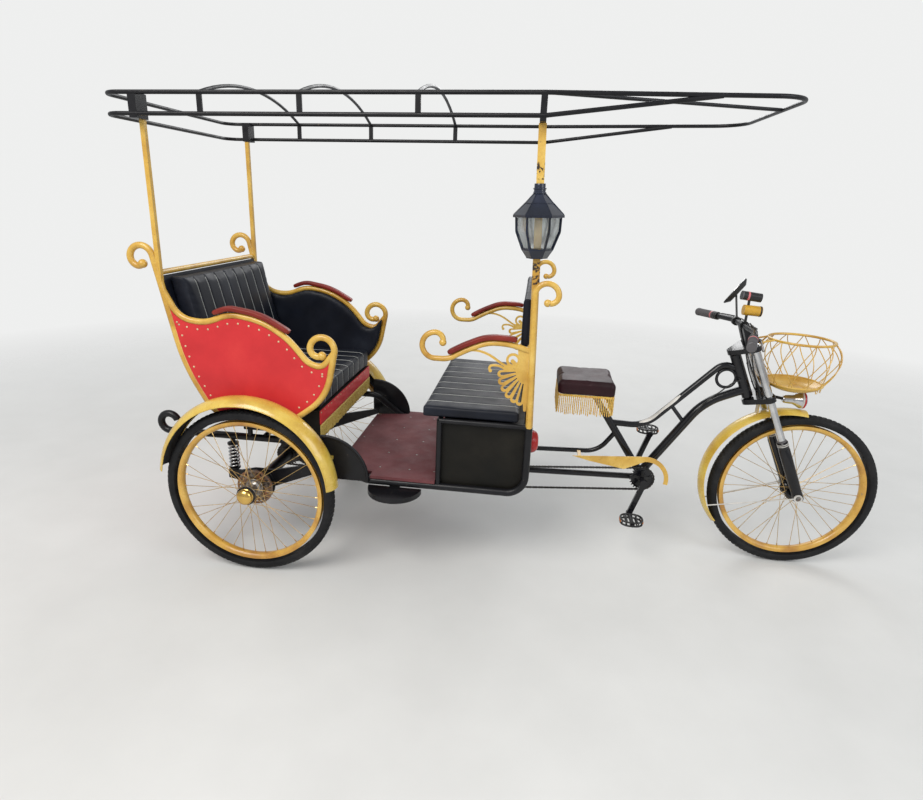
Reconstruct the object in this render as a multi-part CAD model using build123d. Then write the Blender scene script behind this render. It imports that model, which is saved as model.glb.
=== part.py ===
from build123d import *
import math
import os

# Cycle rickshaw: a three-wheeled pedal carriage with two facing benches and a roof frame.
# Millimetres. X is forward from the rear axle, Y is to the rider's left, Z is up from the ground.

# Wheels
wheel_radius = 335
wheelbase = 2158
track = 920
tyre_width = 52
rim_outer_radius = 289
rim_inner_radius = 269
rim_width = 34
rim_wall = 2.5
spoke_count = 36
spoke_radius = 1.3
hub_radius = 19
hub_flange_radius = 32
front_hub_length = 66
rear_hub_length = 74
hub_cap_radius = 31
hub_cap_reach = 70
brake_drum_radius = 72
brake_drum_width = 24
brake_disc_thickness = 3
brake_gap = 4
brake_hole_rings = (44, 61)
brake_hole_radius = 5
brake_hole_count = 12
axle_radius = 10
bearing_clearance = 0.08
seat_clearance = 0.3
moving_clearance = 6

# Body planes
body_half_width = 385
rear_post_x = -324
front_post_foot_x = 1047
front_post_lean = 1.83
post_width = 25
rear_post_width = 16
rear_post_top = 1650
front_post_top = 1673

# Chassis tubes
rail_radius = 14
cross_radius = 10
rail_y = 371
rear_rail_y = 330
floor_rail_z = 385
rear_rail_z = 505
rear_rail_end_x = -388
rear_loop_radius = 36
bench_rear_x = 715
bench_top_z = 655

# Rear axle and springs
axle_tube_radius = 24
axle_tube_half_length = 393
half_shaft_radius = 12
arm_plate = 12
shock_x = -126
shock_foot_z = 357
spring_foot_z = 369
spring_length = 104
spring_radius = 18
spring_turns = 7
spring_wire = 4
damper_radius = 8

# Floor and steps
floor_thickness = 12
floor_back_x = 300
step_x = 545
step_half_length = 105
step_width = 105
step_thickness = 20

# Passenger seat
gold_tube_radius = 12
arm_tube_radius = 11.5
scroll_ball_radius = 16
seat_panel_thickness = 14
seat_base_bottom = 545
seat_base_top = 645
valance_bottom = 590
seat_fringe_bottom = 535
seat_front_x = 246
seat_base_back_x = -66
cushion_thickness = 85
valance_thickness = 6
fringe_thickness = 5

# Front bench
bench_cushion_thickness = 45
box_lamp_y = -200
box_lamp_z = 535
box_lamp_radius = 48

# Roof
roof_tube_radius = 7
roof_bow_radius = 6
roof_rear_x = -436.6
roof_front_x = 1820
roof_rear_bend = 60
roof_front_bend = 120
roof_half_width = 430
roof_front_half_width = 360
roof_rear_z = 1726
roof_rise = 0.0195
roof_hoop_gap = 64
bow_height = 70
brace_foot_x = 1025
brace_head_y = 85
bow_places = (-91, 244, 627)

# Drive
chain_pitch = 12.7
sprocket_teeth = 24
relay_teeth = 12
crank_x = 1537
crank_z = 353
relay_x = 860
relay_z = 298
front_chain_y = -60
rear_chain_y = -88
crank_length = 145
crank_rest_angle = 17
crank_arm_y = 112
pedal_axle_radius = 6
pedal_size = (96, 84, 24)
pedal_window = (24, 62, 40)
pedal_window_x = 30
chain_height = 8.4
chain_plate = 1.6
chain_gap = 3.6
sprocket_thickness = 2.4
pedal_y = 175

# Steering head and fork
rake = 24.5
head_foot_x = 1915
head_foot_z = 730
head_length = 185
head_radius = 21
steerer_radius = 14
fork_offset = 63
fork_half_width = 62
stanchion_radius = 15
lower_leg_radius = 22
front_fender_centre = (2096, 374)
front_fender_radius = 317
front_fender_width = 78

# Rear fenders
fender_centre_x = -5
fender_centre_z = 368
fender_radius = 353
fender_width = 96
fender_sheet = 2.5

# Cycle frame
boom_radius = 13
boom_rear_x = 690
boom_rear_z = 311
boom_front_x = 1528
boom_front_z = 335
hanger_front_x = 985
stay_foot_x = 1040
stay_foot_z = 425
crank_axle_radius = 9
stay_radius = 10
seat_tube_radius = 15.5
top_tube_radius = 13
down_tube_radius = 18
bracket_shell_radius = 22
bracket_shell_half = 36
relay_bearings = (-30, -112)
relay_shaft_radius = 8

sides = (("right", -1), ("left", 1))

# The reference point is on the ground, midway between the foremost tyre and the rearmost scroll.
rear_reach = 443.6
front_reach = wheelbase + wheel_radius
origin_x = (front_reach - rear_reach) / 2

parts = {}


def rod(start, end, radius):
    """A round bar between two points."""
    start = Vector(*start)
    along = Vector(*end) - start
    return extrude(Plane(origin=start, z_dir=along) * Circle(radius), amount=along.length)


def bar(start, end, width, depth, side=(0, 1, 0)):
    """A rectangular bar between two points; its width lies along side."""
    start = Vector(*start)
    along = Vector(*end) - start
    section = Plane(origin=start, x_dir=side, z_dir=along) * Rectangle(width, depth)
    return extrude(section, amount=along.length)


def turned(vector, axis, degrees):
    """A vector at right angles to axis, turned about it."""
    angle = math.radians(degrees)
    return vector * math.cos(angle) + axis.cross(vector) * math.sin(angle)


def bent_edges(points, radius=None, share=0.45):
    """Runs through corner points, each corner rounded by one tangent arc."""
    points = [Vector(*p) for p in points]
    edges = []
    start = points[0]
    for before, corner, after in zip(points, points[1:], points[2:]):
        inward = (corner - before).normalized()
        outward = (after - corner).normalized()
        half_turn = math.radians(inward.get_angle(outward)) / 2
        set_back = share * min((corner - before).length, (after - corner).length)
        if radius is not None:
            set_back = min(set_back, radius * math.tan(half_turn))
        arc_radius = set_back / math.tan(half_turn)
        arc_start = corner - inward * set_back
        arc_end = corner + outward * set_back
        middle = corner + (outward - inward).normalized() * arc_radius * (1 / math.cos(half_turn) - 1)
        edges.append(Line(start, arc_start))
        edges.append(ThreePointArc(arc_start, middle, arc_end))
        start = arc_end
    edges.append(Line(start, points[-1]))
    return edges


def curl_edges(start, heading, axis, arcs):
    """Tangent arcs of shrinking radius that wind about axis, from (radius, degrees) pairs."""
    edges = []
    axis = Vector(*axis)
    point = Vector(*start)
    heading = Vector(*heading).normalized()
    for radius, degrees in arcs:
        centre = point + axis.cross(heading) * radius
        middle = centre + turned(point - centre, axis, degrees / 2)
        end = centre + turned(point - centre, axis, degrees)
        edges.append(ThreePointArc(point, middle, end))
        heading = turned(heading, axis, degrees)
        point = end
    return edges


def tube(edges, radius):
    """A round tube along connected edges."""
    section = Plane(origin=edges[0] @ 0, z_dir=edges[0] % 0) * Circle(radius)
    return sweep(section, path=Wire(edges))


def ball(centre, radius):
    """A sphere whose poles lie on the Y axis, clear of the tube that it ends."""
    return Pos(centre) * Rot(90, 0, 0) * Sphere(radius)


def scrolled_tube(points, radius, axis, arcs, ball_radius):
    """A bent tube whose end winds into a scroll with a ball in its eye."""
    edges = bent_edges(points)
    heading = Vector(*points[-1]) - Vector(*points[-2])
    curl = curl_edges(points[-1], heading, axis, arcs)
    return tube(edges + curl, radius) + ball(curl[-1] @ 1, ball_radius)


def flat_in_side(face, y, thickness):
    """A flat plate in a side plane, from a face drawn in (x, z), centred on y."""
    plane = Plane(origin=(0, y + thickness / 2, 0), x_dir=(1, 0, 0), z_dir=(0, -1, 0))
    return extrude(plane * face, amount=thickness)


def side_plate(points, y, thickness):
    """A flat plate in a side plane, from its (x, z) outline, centred on y."""
    return flat_in_side(make_face(Polyline(*points, close=True)), y, thickness)


def box_between(first, second):
    """A box between two opposite corners."""
    size = [abs(b - a) for a, b in zip(first, second)]
    middle = [(a + b) / 2 for a, b in zip(first, second)]
    return Pos(*middle) * Box(*size)


def about_y(face):
    """A body turned about the Y axis from a face drawn with X as radius and Y as width."""
    return revolve(face, axis=Axis.Y)


def joined(solids):
    """One body from a list of touching or overlapping solids."""
    return solids[0] + solids[1:]


def largest(shape):
    """The main piece of a cut body."""
    return max(shape.solids(), key=lambda solid: solid.volume)


def shifted(points, distance):
    """Corner points of an (x, z) path, moved sideways to its left by distance."""
    corners = [Vector(x, z, 0) for x, z in points]
    moved = []
    for index, corner in enumerate(corners):
        before = corners[max(index - 1, 0)]
        after = corners[min(index + 1, len(corners) - 1)]
        inward = (corner - before).normalized() if index else (after - corner).normalized()
        outward = (after - corner).normalized() if index < len(corners) - 1 else inward
        left = Vector(-inward.Y - outward.Y, inward.X + outward.X, 0).normalized()
        stretch = 1 / max(0.5, math.cos(math.radians(inward.get_angle(outward)) / 2))
        place = corner + left * distance * stretch
        moved.append((place.X, place.Y))
    return moved


def at_side(points, y):
    """(x, z) points placed in the side plane at y."""
    return [(x, y, z) for x, z in points]


def boom_z(x):
    """Height of the boom's centre line."""
    return boom_rear_z + (x - boom_rear_x) * (boom_front_z - boom_rear_z) / (boom_front_x - boom_rear_x)


def keep(node, shape):
    """Stores a node under its name."""
    parts[node] = shape


# Wheels


def tyre():
    """A tyre with its beads inside the rim's channel."""
    bead = rim_width / 2 - rim_wall - seat_clearance
    floor = rim_inner_radius + 2 * rim_wall + seat_clearance
    lip = rim_outer_radius + seat_clearance
    half = tyre_width / 2
    shoulder = (lip + wheel_radius) / 2
    below = [(shoulder, -half), (lip, -bead), (floor, -bead)]
    above = [(floor, bead), (lip, bead), (shoulder, half)]
    outline = Polyline(*below, *above)
    crown = ThreePointArc((shoulder, half), (wheel_radius, 0), (shoulder, -half))
    return about_y(make_face([outline, crown]))


def rim():
    """A channel-shaped rim."""
    half = rim_width / 2
    bed = rim_inner_radius + 2 * rim_wall
    outline = Polyline(
        (rim_inner_radius, -half / 2),
        (bed, -half),
        (rim_outer_radius, -half),
        (rim_outer_radius, -half + rim_wall),
        (bed, -half + rim_wall),
        (bed, half - rim_wall),
        (rim_outer_radius, half - rim_wall),
        (rim_outer_radius, half),
        (bed, half),
        (rim_inner_radius, half / 2),
        close=True,
    )
    return about_y(make_face(outline))


def spokes(flange_y):
    """Crossed spokes from the hub's two flanges to the rim."""
    bars = []
    for number in range(spoke_count):
        side = 1 if number % 2 else -1
        lean = 1 if number % 4 < 2 else -1
        rim_angle = math.radians(number * 360 / spoke_count)
        hub_angle = rim_angle + lean * math.radians(52)
        hub_end = (
            (hub_flange_radius - 4) * math.cos(hub_angle),
            side * flange_y,
            (hub_flange_radius - 4) * math.sin(hub_angle),
        )
        rim_end = (
            (rim_inner_radius + 1) * math.cos(rim_angle),
            side * 4,
            (rim_inner_radius + 1) * math.sin(rim_angle),
        )
        along = Vector(*rim_end) - Vector(*hub_end)
        section = Plane(origin=hub_end, z_dir=along) * RegularPolygon(spoke_radius, 4)
        bars.append(extrude(section, amount=along.length))
    return bars


def wheel_centre(x, y):
    return Pos(x, y, wheel_radius)


def y_cylinder(radius, low, high):
    """A cylinder along Y between two Y values."""
    return rod((0, low, 0), (0, high, 0), radius)


def front_wheel():
    flange_y = front_hub_length / 2 - 6
    body = [rim()]
    body += [y_cylinder(hub_radius, -front_hub_length / 2, front_hub_length / 2)]
    for side in (-1, 1):
        body.append(y_cylinder(hub_flange_radius, side * flange_y - 2, side * flange_y + 2))
    body += spokes(flange_y)
    return joined(body) - y_cylinder(axle_radius + bearing_clearance, -60, 60)


def brake_disc(low, high):
    """A disc with two rings of holes, between two Y values."""
    disc = y_cylinder(brake_drum_radius, low, high)
    for ring_radius in brake_hole_rings:
        for number in range(brake_hole_count):
            turn = math.radians(360 * number / brake_hole_count)
            hole = y_cylinder(brake_hole_radius, low - 5, low + 5)
            hole += y_cylinder(brake_hole_radius, high - 5, high + 5)
            disc -= Pos(ring_radius * math.cos(turn), 0, ring_radius * math.sin(turn)) * hole
    return disc


def rear_wheel(side):
    """Rim, spokes, hub, brake drum, half shaft and cap; side is -1 on the right."""
    flange_y = rear_hub_length / 2 - 6
    inner = -side * rear_hub_length / 2
    drum_end = inner - side * brake_drum_width
    shaft_end = -side * (track / 2 - axle_tube_half_length + 70)
    outer = side * rear_hub_length / 2
    body = [rim()]
    body.append(y_cylinder(hub_radius, inner, outer))
    for place in (-1, 1):
        body.append(y_cylinder(hub_flange_radius, place * flange_y - 2, place * flange_y + 2))
    body.append(brake_disc(inner, inner - side * brake_disc_thickness))
    body.append(y_cylinder(hub_flange_radius, inner, drum_end))
    drum_start = inner - side * (brake_disc_thickness + brake_gap)
    body.append(y_cylinder(brake_drum_radius - 8, drum_start, drum_end))
    body.append(y_cylinder(half_shaft_radius, drum_end + side, shaft_end))
    cap_flat = side * (hub_cap_reach - 18)
    body.append(y_cylinder(hub_cap_radius * 0.72, outer - side, cap_flat))
    dome = Pos(0, cap_flat, 0) * scale(Sphere(hub_cap_radius), by=(1, 18 / hub_cap_radius, 1))
    body.append(dome)
    body += spokes(flange_y)
    return joined(body)


front_wheel_place = wheel_centre(wheelbase, 0)
keep("front_tyre", front_wheel_place * tyre())
keep("front_wheel", front_wheel_place * front_wheel())
for side_name, side in sides:
    place = wheel_centre(0, side * track / 2)
    keep(f"rear_tyre_{side_name}", place * tyre())
    keep(f"rear_wheel_{side_name}", place * rear_wheel(side))


# Rear axle, trailing arms and springs

axle_tube = y_cylinder(axle_tube_radius, -axle_tube_half_length, axle_tube_half_length)
axle_tube += y_cylinder(62, -30, 55)
axle_parts = [Pos(0, 0, wheel_radius) * axle_tube]
backing_gap = track / 2 - rear_hub_length / 2 - brake_drum_width - moving_clearance
for side_name, side in sides:
    plate = y_cylinder(brake_drum_radius - 4, side * backing_gap, side * (backing_gap - 6))
    axle_parts.append(Pos(0, 0, wheel_radius) * plate)
    arm = side_plate(
        [
            (-152, 322),
            (-152, shock_foot_z - seat_clearance),
            (-100, shock_foot_z - seat_clearance),
            (-40, 372),
            (40, 372),
            (300, 432),
            (300, 408),
            (40, 300),
            (-40, 300),
        ],
        side * rear_rail_y,
        arm_plate,
    )
    axle_parts.append(arm)
rear_axle = joined(axle_parts)
for side_name, side in sides:
    tube_end = side * axle_tube_half_length
    bearing = y_cylinder(half_shaft_radius + bearing_clearance, tube_end - side * 80, tube_end + side * 40)
    rear_axle -= Pos(0, 0, wheel_radius) * bearing
keep("rear_axle", rear_axle)


def shock_absorber(y):
    """A coil spring between two cups on a damper rod."""
    top_z = rear_rail_z - rail_radius - seat_clearance
    spring_top_z = spring_foot_z + spring_length
    coil = Helix(spring_length / spring_turns, spring_length, spring_radius)
    section = Plane(origin=coil @ 0, z_dir=coil % 0) * RegularPolygon(spring_wire, 8)
    wire = sweep(section, path=coil, is_frenet=True)
    cup_radius = spring_radius + spring_wire + 0.5
    low_cup = rod((shock_x, y, spring_foot_z - 5), (shock_x, y, spring_foot_z + 3), cup_radius)
    high_cup = rod((shock_x, y, spring_top_z - 3), (shock_x, y, spring_top_z + 5), cup_radius)
    damper = rod((shock_x, y, shock_foot_z), (shock_x, y, top_z), damper_radius)
    return joined([damper, low_cup, high_cup]) + Pos(shock_x, y, spring_foot_z) * wire


shocks = [shock_absorber(side * rear_rail_y) for _, side in sides]
keep("shock_absorbers", Compound(shocks))


# Chassis tubes


def chassis():
    tubes = []
    for _, side in sides:
        y = side * rail_y
        rear_y = side * rear_rail_y
        rail = [
            (front_post_foot_x, y, bench_top_z),
            (front_post_foot_x, y, floor_rail_z),
            (420, y, floor_rail_z),
            (290, rear_y, rear_rail_z),
            (rear_rail_end_x, rear_y, rear_rail_z),
        ]
        edges = bent_edges(rail, radius=70)
        curl = curl_edges(rail[-1], (-1, 0, 0), (0, 1, 0), [(rear_loop_radius, 250)])
        tubes.append(tube(edges + curl, rail_radius))
        tubes.append(rod((bench_rear_x, y, floor_rail_z), (bench_rear_x, y, bench_top_z), cross_radius))
        tubes.append(rod((bench_rear_x, y, bench_top_z), (front_post_foot_x, y, bench_top_z), cross_radius))
        for x in (-50, 215):
            tubes.append(rod((x, rear_y, rear_rail_z), (x, rear_y, seat_base_bottom), cross_radius))
    floor_tube_z = floor_rail_z + rail_radius - cross_radius
    for x, z in (
        (430, floor_tube_z),
        (bench_rear_x, floor_rail_z),
        (hanger_front_x, floor_rail_z),
        (stay_foot_x, stay_foot_z),
        (bench_rear_x, bench_top_z),
        (front_post_foot_x, bench_top_z),
    ):
        tubes.append(rod((x, -rail_y, z), (x, rail_y, z), cross_radius))
    for x in (bench_rear_x, hanger_front_x):
        z = boom_z(x)
        block = box_between((x - 12, -18, z - 20), (x + 12, 18, floor_rail_z))
        hole_ends = [(end_x, 0, boom_z(end_x)) for end_x in (x - 20, x + 20)]
        boom_hole = rod(*hole_ends, boom_radius + seat_clearance)
        tubes.append(block - boom_hole)
    plate_foot = relay_z - 20
    for y in relay_bearings:
        block = box_between((relay_x - 16, y - 5, plate_foot), (relay_x + 16, y + 5, floor_rail_z))
        bore = y_cylinder(relay_shaft_radius + bearing_clearance, -150, 50)
        tubes.append(block - Pos(relay_x, 0, relay_z) * bore)
    tubes.append(rod((relay_x, -rail_y, floor_rail_z), (relay_x, rail_y, floor_rail_z), cross_radius))
    for x in (-290, 0, 215):
        tubes.append(rod((x, -rear_rail_y, rear_rail_z), (x, rear_rail_y, rear_rail_z), cross_radius))
    return joined(tubes)


keep("chassis_frame", chassis())


# Cycle frame: boom, stay, seat tube, top tube, down tube and head tube

head_axis = Vector(-math.sin(math.radians(rake)), 0, math.cos(math.radians(rake)))
steer_plane = Plane(
    origin=(head_foot_x, 0, head_foot_z),
    x_dir=(math.cos(math.radians(rake)), 0, math.sin(math.radians(rake))),
    z_dir=head_axis,
)
seat_tube_top = (1352, 0, 625)
crank_centre = (crank_x, 0, crank_z)


def cycle_frame():
    stay = [(stay_foot_x + cross_radius + seat_clearance, 0, stay_foot_z), (1350, 0, 437), (1415, 0, 532)]
    top_tube = [(1388, 0, 573), (1530, 0, 568), (1800, 0, 858), (1864, 0, 838)]
    down_tube = [(1548, 0, 372), (1749, 0, 691), (1905, 0, 760)]
    pieces = [
        Pos(crank_x, 0, crank_z) * y_cylinder(bracket_shell_radius, -bracket_shell_half, bracket_shell_half),
        rod((boom_rear_x, 0, boom_rear_z), (boom_front_x, 0, boom_front_z), boom_radius),
        tube(bent_edges(stay), stay_radius),
        rod(crank_centre, seat_tube_top, seat_tube_radius),
        tube(bent_edges(top_tube), top_tube_radius),
        tube(bent_edges(down_tube), down_tube_radius),
        rod((1624, 0, 668), (1690, 0, 590), 8),
        Pos(1821, 0, 797) * Rot(90, 0, 0) * Torus(37, 6),
        steer_plane * Pos(0, 0, head_length / 2) * Cylinder(head_radius, head_length),
    ]
    frame = joined(pieces)
    frame -= Pos(crank_x, 0, crank_z) * y_cylinder(crank_axle_radius + bearing_clearance, -60, 60)
    bore = Cylinder(steerer_radius + bearing_clearance, head_length + 80)
    return frame - steer_plane * Pos(0, 0, head_length / 2) * bore


keep("cycle_frame", cycle_frame())


# Saddle

saddle_x = 1265
saddle_size = (240, 260, 62)
saddle_base_z = 713
saddle_fringe_drop = 88


def saddle_post():
    along = Vector(*seat_tube_top) - Vector(*crank_centre)
    top = Vector(*seat_tube_top) + along.normalized() * 95
    post = rod(seat_tube_top, top, 13)
    low = (saddle_x - 70, -45, saddle_base_z - 18)
    high = (saddle_x + 70, 45, saddle_base_z - seat_clearance)
    plate = box_between(low, high)
    return post + plate


keep("saddle_post", saddle_post())
saddle_pad = Pos(saddle_x, 0, saddle_base_z + saddle_size[2] / 2) * Box(*saddle_size)
saddle_edges = saddle_pad.edges().filter_by(Axis.Z) + saddle_pad.faces().sort_by(Axis.Z)[-1].edges()
keep("saddle", fillet(saddle_edges, 22))
skirt_place = Pos(saddle_x, 0, saddle_base_z - saddle_fringe_drop / 2)
skirt_outer = skirt_place * Box(saddle_size[0] - 2, saddle_size[1] - 2, saddle_fringe_drop)
skirt_inner = skirt_place * Box(saddle_size[0] - 10, saddle_size[1] - 10, saddle_fringe_drop + 2)
keep("saddle_fringe", Pos(0, 0, -seat_clearance) * (skirt_outer - skirt_inner))


# Passenger seat

rail_junction = (-320, 1082)
front_junction = (322, 888)
back_line = [(0, 603), (-150, 603), (-262, 800), rail_junction]
front_line = [(0, 603), (140, 603), (288, 715), front_junction]
arm_points = [(-268, 982), (-165, 966), (-70, 1008), (45, 990), (145, 935), (222, 842), (275, 828)]
arm_line = [rail_junction] + arm_points + [front_junction]
pad_line = [(-122, 988), (-70, 1008), (45, 990), (145, 935)]
back_top = (-345, 1202)


def seat_rail(y):
    """Gold tubes of one seat side with their scrolls and the rear roof post."""
    back = bent_edges(at_side(back_line + [back_top], y))
    heading = Vector(back_top[0] - rail_junction[0], 0, back_top[1] - rail_junction[1])
    rear_turns = [(44, 150), (34, 80), (22, 80)]
    rear_curl = curl_edges((back_top[0], y, back_top[1]), heading, (0, -1, 0), rear_turns)
    front = bent_edges(at_side(front_line, y))
    heading = Vector(front_junction[0] - front_line[-2][0], 0, front_junction[1] - front_line[-2][1])
    front_turns = [(46, 180), (30, 130)]
    front_curl = curl_edges((front_junction[0], y, front_junction[1]), heading, (0, -1, 0), front_turns)
    post = box_between(
        (rear_post_x - rear_post_width / 2, y - rear_post_width / 2, 1110),
        (rear_post_x + rear_post_width / 2, y + rear_post_width / 2, rear_post_top),
    )
    return joined(
        [
            tube(back + rear_curl, gold_tube_radius) + ball(rear_curl[-1] @ 1, scroll_ball_radius),
            tube(front + front_curl, gold_tube_radius) + ball(front_curl[-1] @ 1, scroll_ball_radius),
            tube(bent_edges(at_side(arm_line, y)), arm_tube_radius),
            post,
        ]
    )


def side_face(y, thickness):
    """The side panel's outline, along the centre lines of the tubes round it."""
    edges = bent_edges(at_side(back_line, 0))
    edges += bent_edges(at_side(arm_line, 0))
    edges += bent_edges(at_side(front_line, 0))
    face = make_face(edges)
    return Pos(0, y, 0) * extrude(face, amount=thickness / 2, both=True, dir=(0, 1, 0))


def fat_side_tubes(y):
    """The tubes round a side panel, with the panel's clearance added."""
    fat = gold_tube_radius + seat_clearance
    return [
        tube(bent_edges(at_side(back_line, y)), fat),
        tube(bent_edges(at_side(front_line, y)), fat),
        tube(bent_edges(at_side(arm_line, y)), fat),
    ]


top_rail = rod((-332, -body_half_width, 1142), (-332, body_half_width, 1142), 10)
keep("seat_rails", joined([seat_rail(-body_half_width), seat_rail(body_half_width), top_rail]))

inner_pad_thickness = 22
inner_face_y = body_half_width - gold_tube_radius - seat_clearance
seat_half_width = inner_face_y - inner_pad_thickness - seat_clearance
panels = []
pads = []
for _, side in sides:
    panel = side_face(side * body_half_width, seat_panel_thickness) - fat_side_tubes(side * body_half_width)
    panels.append(largest(panel))
    pads.append(side_face(side * (inner_face_y - inner_pad_thickness / 2), inner_pad_thickness))

back_lean = (rail_junction[0] + 262) / (rail_junction[1] - 800)


def back_x(z):
    """X of the back tubes' centre line at height z."""
    return -262 + back_lean * (z - 800)


def strip(points, y, length, low, high):
    """A board bent along an (x, z) path, between two offsets from the path, centred on y."""
    inner = bent_edges(at_side(shifted(points, low), 0))
    outer = bent_edges(at_side(shifted(points, high), 0))
    ends = [Line(inner[0] @ 0, outer[0] @ 0), Line(inner[-1] @ 1, outer[-1] @ 1)]
    face = make_face(inner + outer + ends)
    return Pos(0, y, 0) * extrude(face, amount=length / 2, both=True, dir=(0, 1, 0))


back_board_line = [(-70, 603), (-150, 603), (-262, 800), (back_x(1130), 1130)]
back_board = strip(back_board_line, 0, 2 * inner_face_y - 1, -7, 5)
panels.append(back_board)
keep("seat_panels", Compound(panels))
fat_board = strip(back_board_line, 0, 2 * inner_face_y, -7 - seat_clearance, 5 + seat_clearance)
keep("seat_side_pads", Compound([largest(pad - fat_board) for pad in pads]))

cushion_top = seat_base_top + cushion_thickness
back_cushion_top = 1118
back_cushion_outline = [
    (back_x(cushion_top) - 2, cushion_top + seat_clearance),
    (back_x(back_cushion_top) - 2, back_cushion_top),
    (back_x(back_cushion_top) + 62, back_cushion_top),
    (back_x(cushion_top) + 84, cushion_top + seat_clearance),
]
back_cushion = side_plate(back_cushion_outline, 0, 2 * seat_half_width)
keep("seat_back_cushion", largest(back_cushion - fat_board))
seat_base_low = (seat_base_back_x, -seat_half_width, seat_base_bottom)
seat_base_high = (seat_front_x, seat_half_width, seat_base_top)
keep("seat_base", box_between(seat_base_low, seat_base_high))
seat_cushion = box_between(
    (back_x(cushion_top), -seat_half_width, seat_base_top + seat_clearance),
    (seat_front_x + 12, seat_half_width, cushion_top),
)
keep("seat_cushion", largest(seat_cushion - fat_board))
valance_x = seat_front_x + seat_clearance
keep(
    "seat_valance",
    box_between(
        (valance_x, -seat_half_width, valance_bottom),
        (valance_x + valance_thickness, seat_half_width, seat_base_top),
    ),
)
keep(
    "seat_fringe",
    box_between(
        (valance_x, -seat_half_width, seat_fringe_bottom),
        (valance_x + fringe_thickness, seat_half_width, valance_bottom - seat_clearance),
    ),
)


arm_pad_height = 20
pad_rise = arm_pad_height / 2 + seat_clearance


def arm_pad(points, y, offset, width):
    """A padded strip lying on a rail."""
    edges = bent_edges(at_side(shifted(points, offset), y))
    section = RectangleRounded(width, arm_pad_height, arm_pad_height * 0.35)
    return sweep(Plane(origin=edges[0] @ 0, x_dir=(0, 1, 0), z_dir=edges[0] % 0) * section, path=Wire(edges))


# Front bench

bench_tube_radius = 10


def post_x(z):
    """X of the front posts' centre line at height z."""
    return front_post_foot_x - (z - 675) * math.tan(math.radians(front_post_lean))


bench_arm_line = [(1030, 945), (960, 964), (880, 966), (800, 930), (742, 896), (694, 896)]
bench_pad_line = [(978, 960), (960, 964), (880, 966), (800, 930), (752, 902)]


def bench_rail(side):
    """One front post with its scroll tube and its arm rail."""
    y = side * body_half_width
    foot_z = bench_top_z + cross_radius + 0.8
    foot = (post_x(foot_z), y, foot_z)
    head = (post_x(front_post_top), y, front_post_top)
    post = bar(foot, head, post_width, post_width)
    scroll_y = y + side * (post_width / 2 + bench_tube_radius - 1)
    scroll = scrolled_tube(
        [
            (post_x(foot_z), scroll_y, foot_z),
            (post_x(900), scroll_y, 900),
            (post_x(1142) + 0.01, scroll_y, 1142),
        ],
        bench_tube_radius,
        (0, 1, 0),
        [(40, 180), (27, 110)],
        13,
    )
    arm = scrolled_tube(at_side(bench_arm_line, y), bench_tube_radius, (0, 1, 0), [(47, 180), (28, 105)], 13)
    return joined([post, scroll, arm])


bench_rails = [bench_rail(side) for _, side in sides]
for z in (962, 1104):
    bench_rails.append(rod((post_x(z), -body_half_width, z), (post_x(z), body_half_width, z), 7))
keep("bench_rails", joined(bench_rails))

bench_box_low = (
    bench_rear_x + cross_radius + seat_clearance,
    -rail_y + rail_radius + seat_clearance,
    floor_rail_z + rail_radius + seat_clearance,
)
bench_box_high = (
    stay_foot_x - cross_radius - 1,
    rail_y - rail_radius - seat_clearance,
    bench_top_z - cross_radius - seat_clearance,
)
keep("bench_box", box_between(bench_box_low, bench_box_high))

lamp_face_x = bench_box_high[0] + seat_clearance
lamp_stem_end = (lamp_face_x + 40, box_lamp_y, box_lamp_z)
lamp_back = (lamp_face_x + 34, box_lamp_y, box_lamp_z)
lamp_front = (lamp_face_x + 62, box_lamp_y, box_lamp_z)
box_lamp = rod((lamp_face_x, box_lamp_y, box_lamp_z), lamp_stem_end, 16)
box_lamp += rod(lamp_back, lamp_front, box_lamp_radius)
keep("box_lamp", box_lamp)
bench_seat_z = bench_top_z + cross_radius + seat_clearance
keep(
    "bench_cushion",
    box_between(
        (bench_rear_x - 72, -body_half_width, bench_seat_z),
        (1018, body_half_width, bench_seat_z + bench_cushion_thickness),
    ),
)
back_pad_face = post_x(1104) - 7 - seat_clearance
keep("bench_back_pad", box_between((back_pad_face - 32, -366, 941), (back_pad_face, 366, 1126)))

arm_pads = []
for _, side in sides:
    y = side * body_half_width
    arm_pads.append(arm_pad(pad_line, y, arm_tube_radius + pad_rise, 34))
    arm_pads.append(arm_pad(bench_pad_line, y, -bench_tube_radius - pad_rise - seat_clearance, 32))
keep("arm_pads", Compound(arm_pads))


fan_centre = (1020, 872)
fan_petals = ((191, 88), (208, 94), (224, 100), (239, 108), (252, 114), (263, 118))
petal_radius = 13
slot_radius = 6
volute_centre = (973, 908)
volute_radius = 25
volute_width = 9
scroll_strip = 8
bracket_thickness = 5


def disc_at(place, radius):
    return Pos(*place) * Circle(radius)


def linked(*discs):
    """The flat shape that a belt round some discs would enclose."""
    return make_hull([edge for disc in discs for edge in disc.edges()])


def fan_point(angle, radius):
    """A point at a radius from the fan's centre."""
    turn = math.radians(angle)
    return (fan_centre[0] + radius * math.cos(turn), fan_centre[1] + radius * math.sin(turn))


def flat_scroll(points, axis, arcs, eye_radius):
    """A flat strip along a curve whose end winds into an eye."""
    spine = Spline(*points)
    curl = curl_edges(spine @ 1, spine % 1, axis, arcs)
    strip_face = trace(spine, scroll_strip)
    for edge in curl:
        strip_face += trace(edge, scroll_strip)
    eye = curl[-1] @ 1
    return strip_face + disc_at((eye.X, eye.Y), eye_radius)


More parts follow.
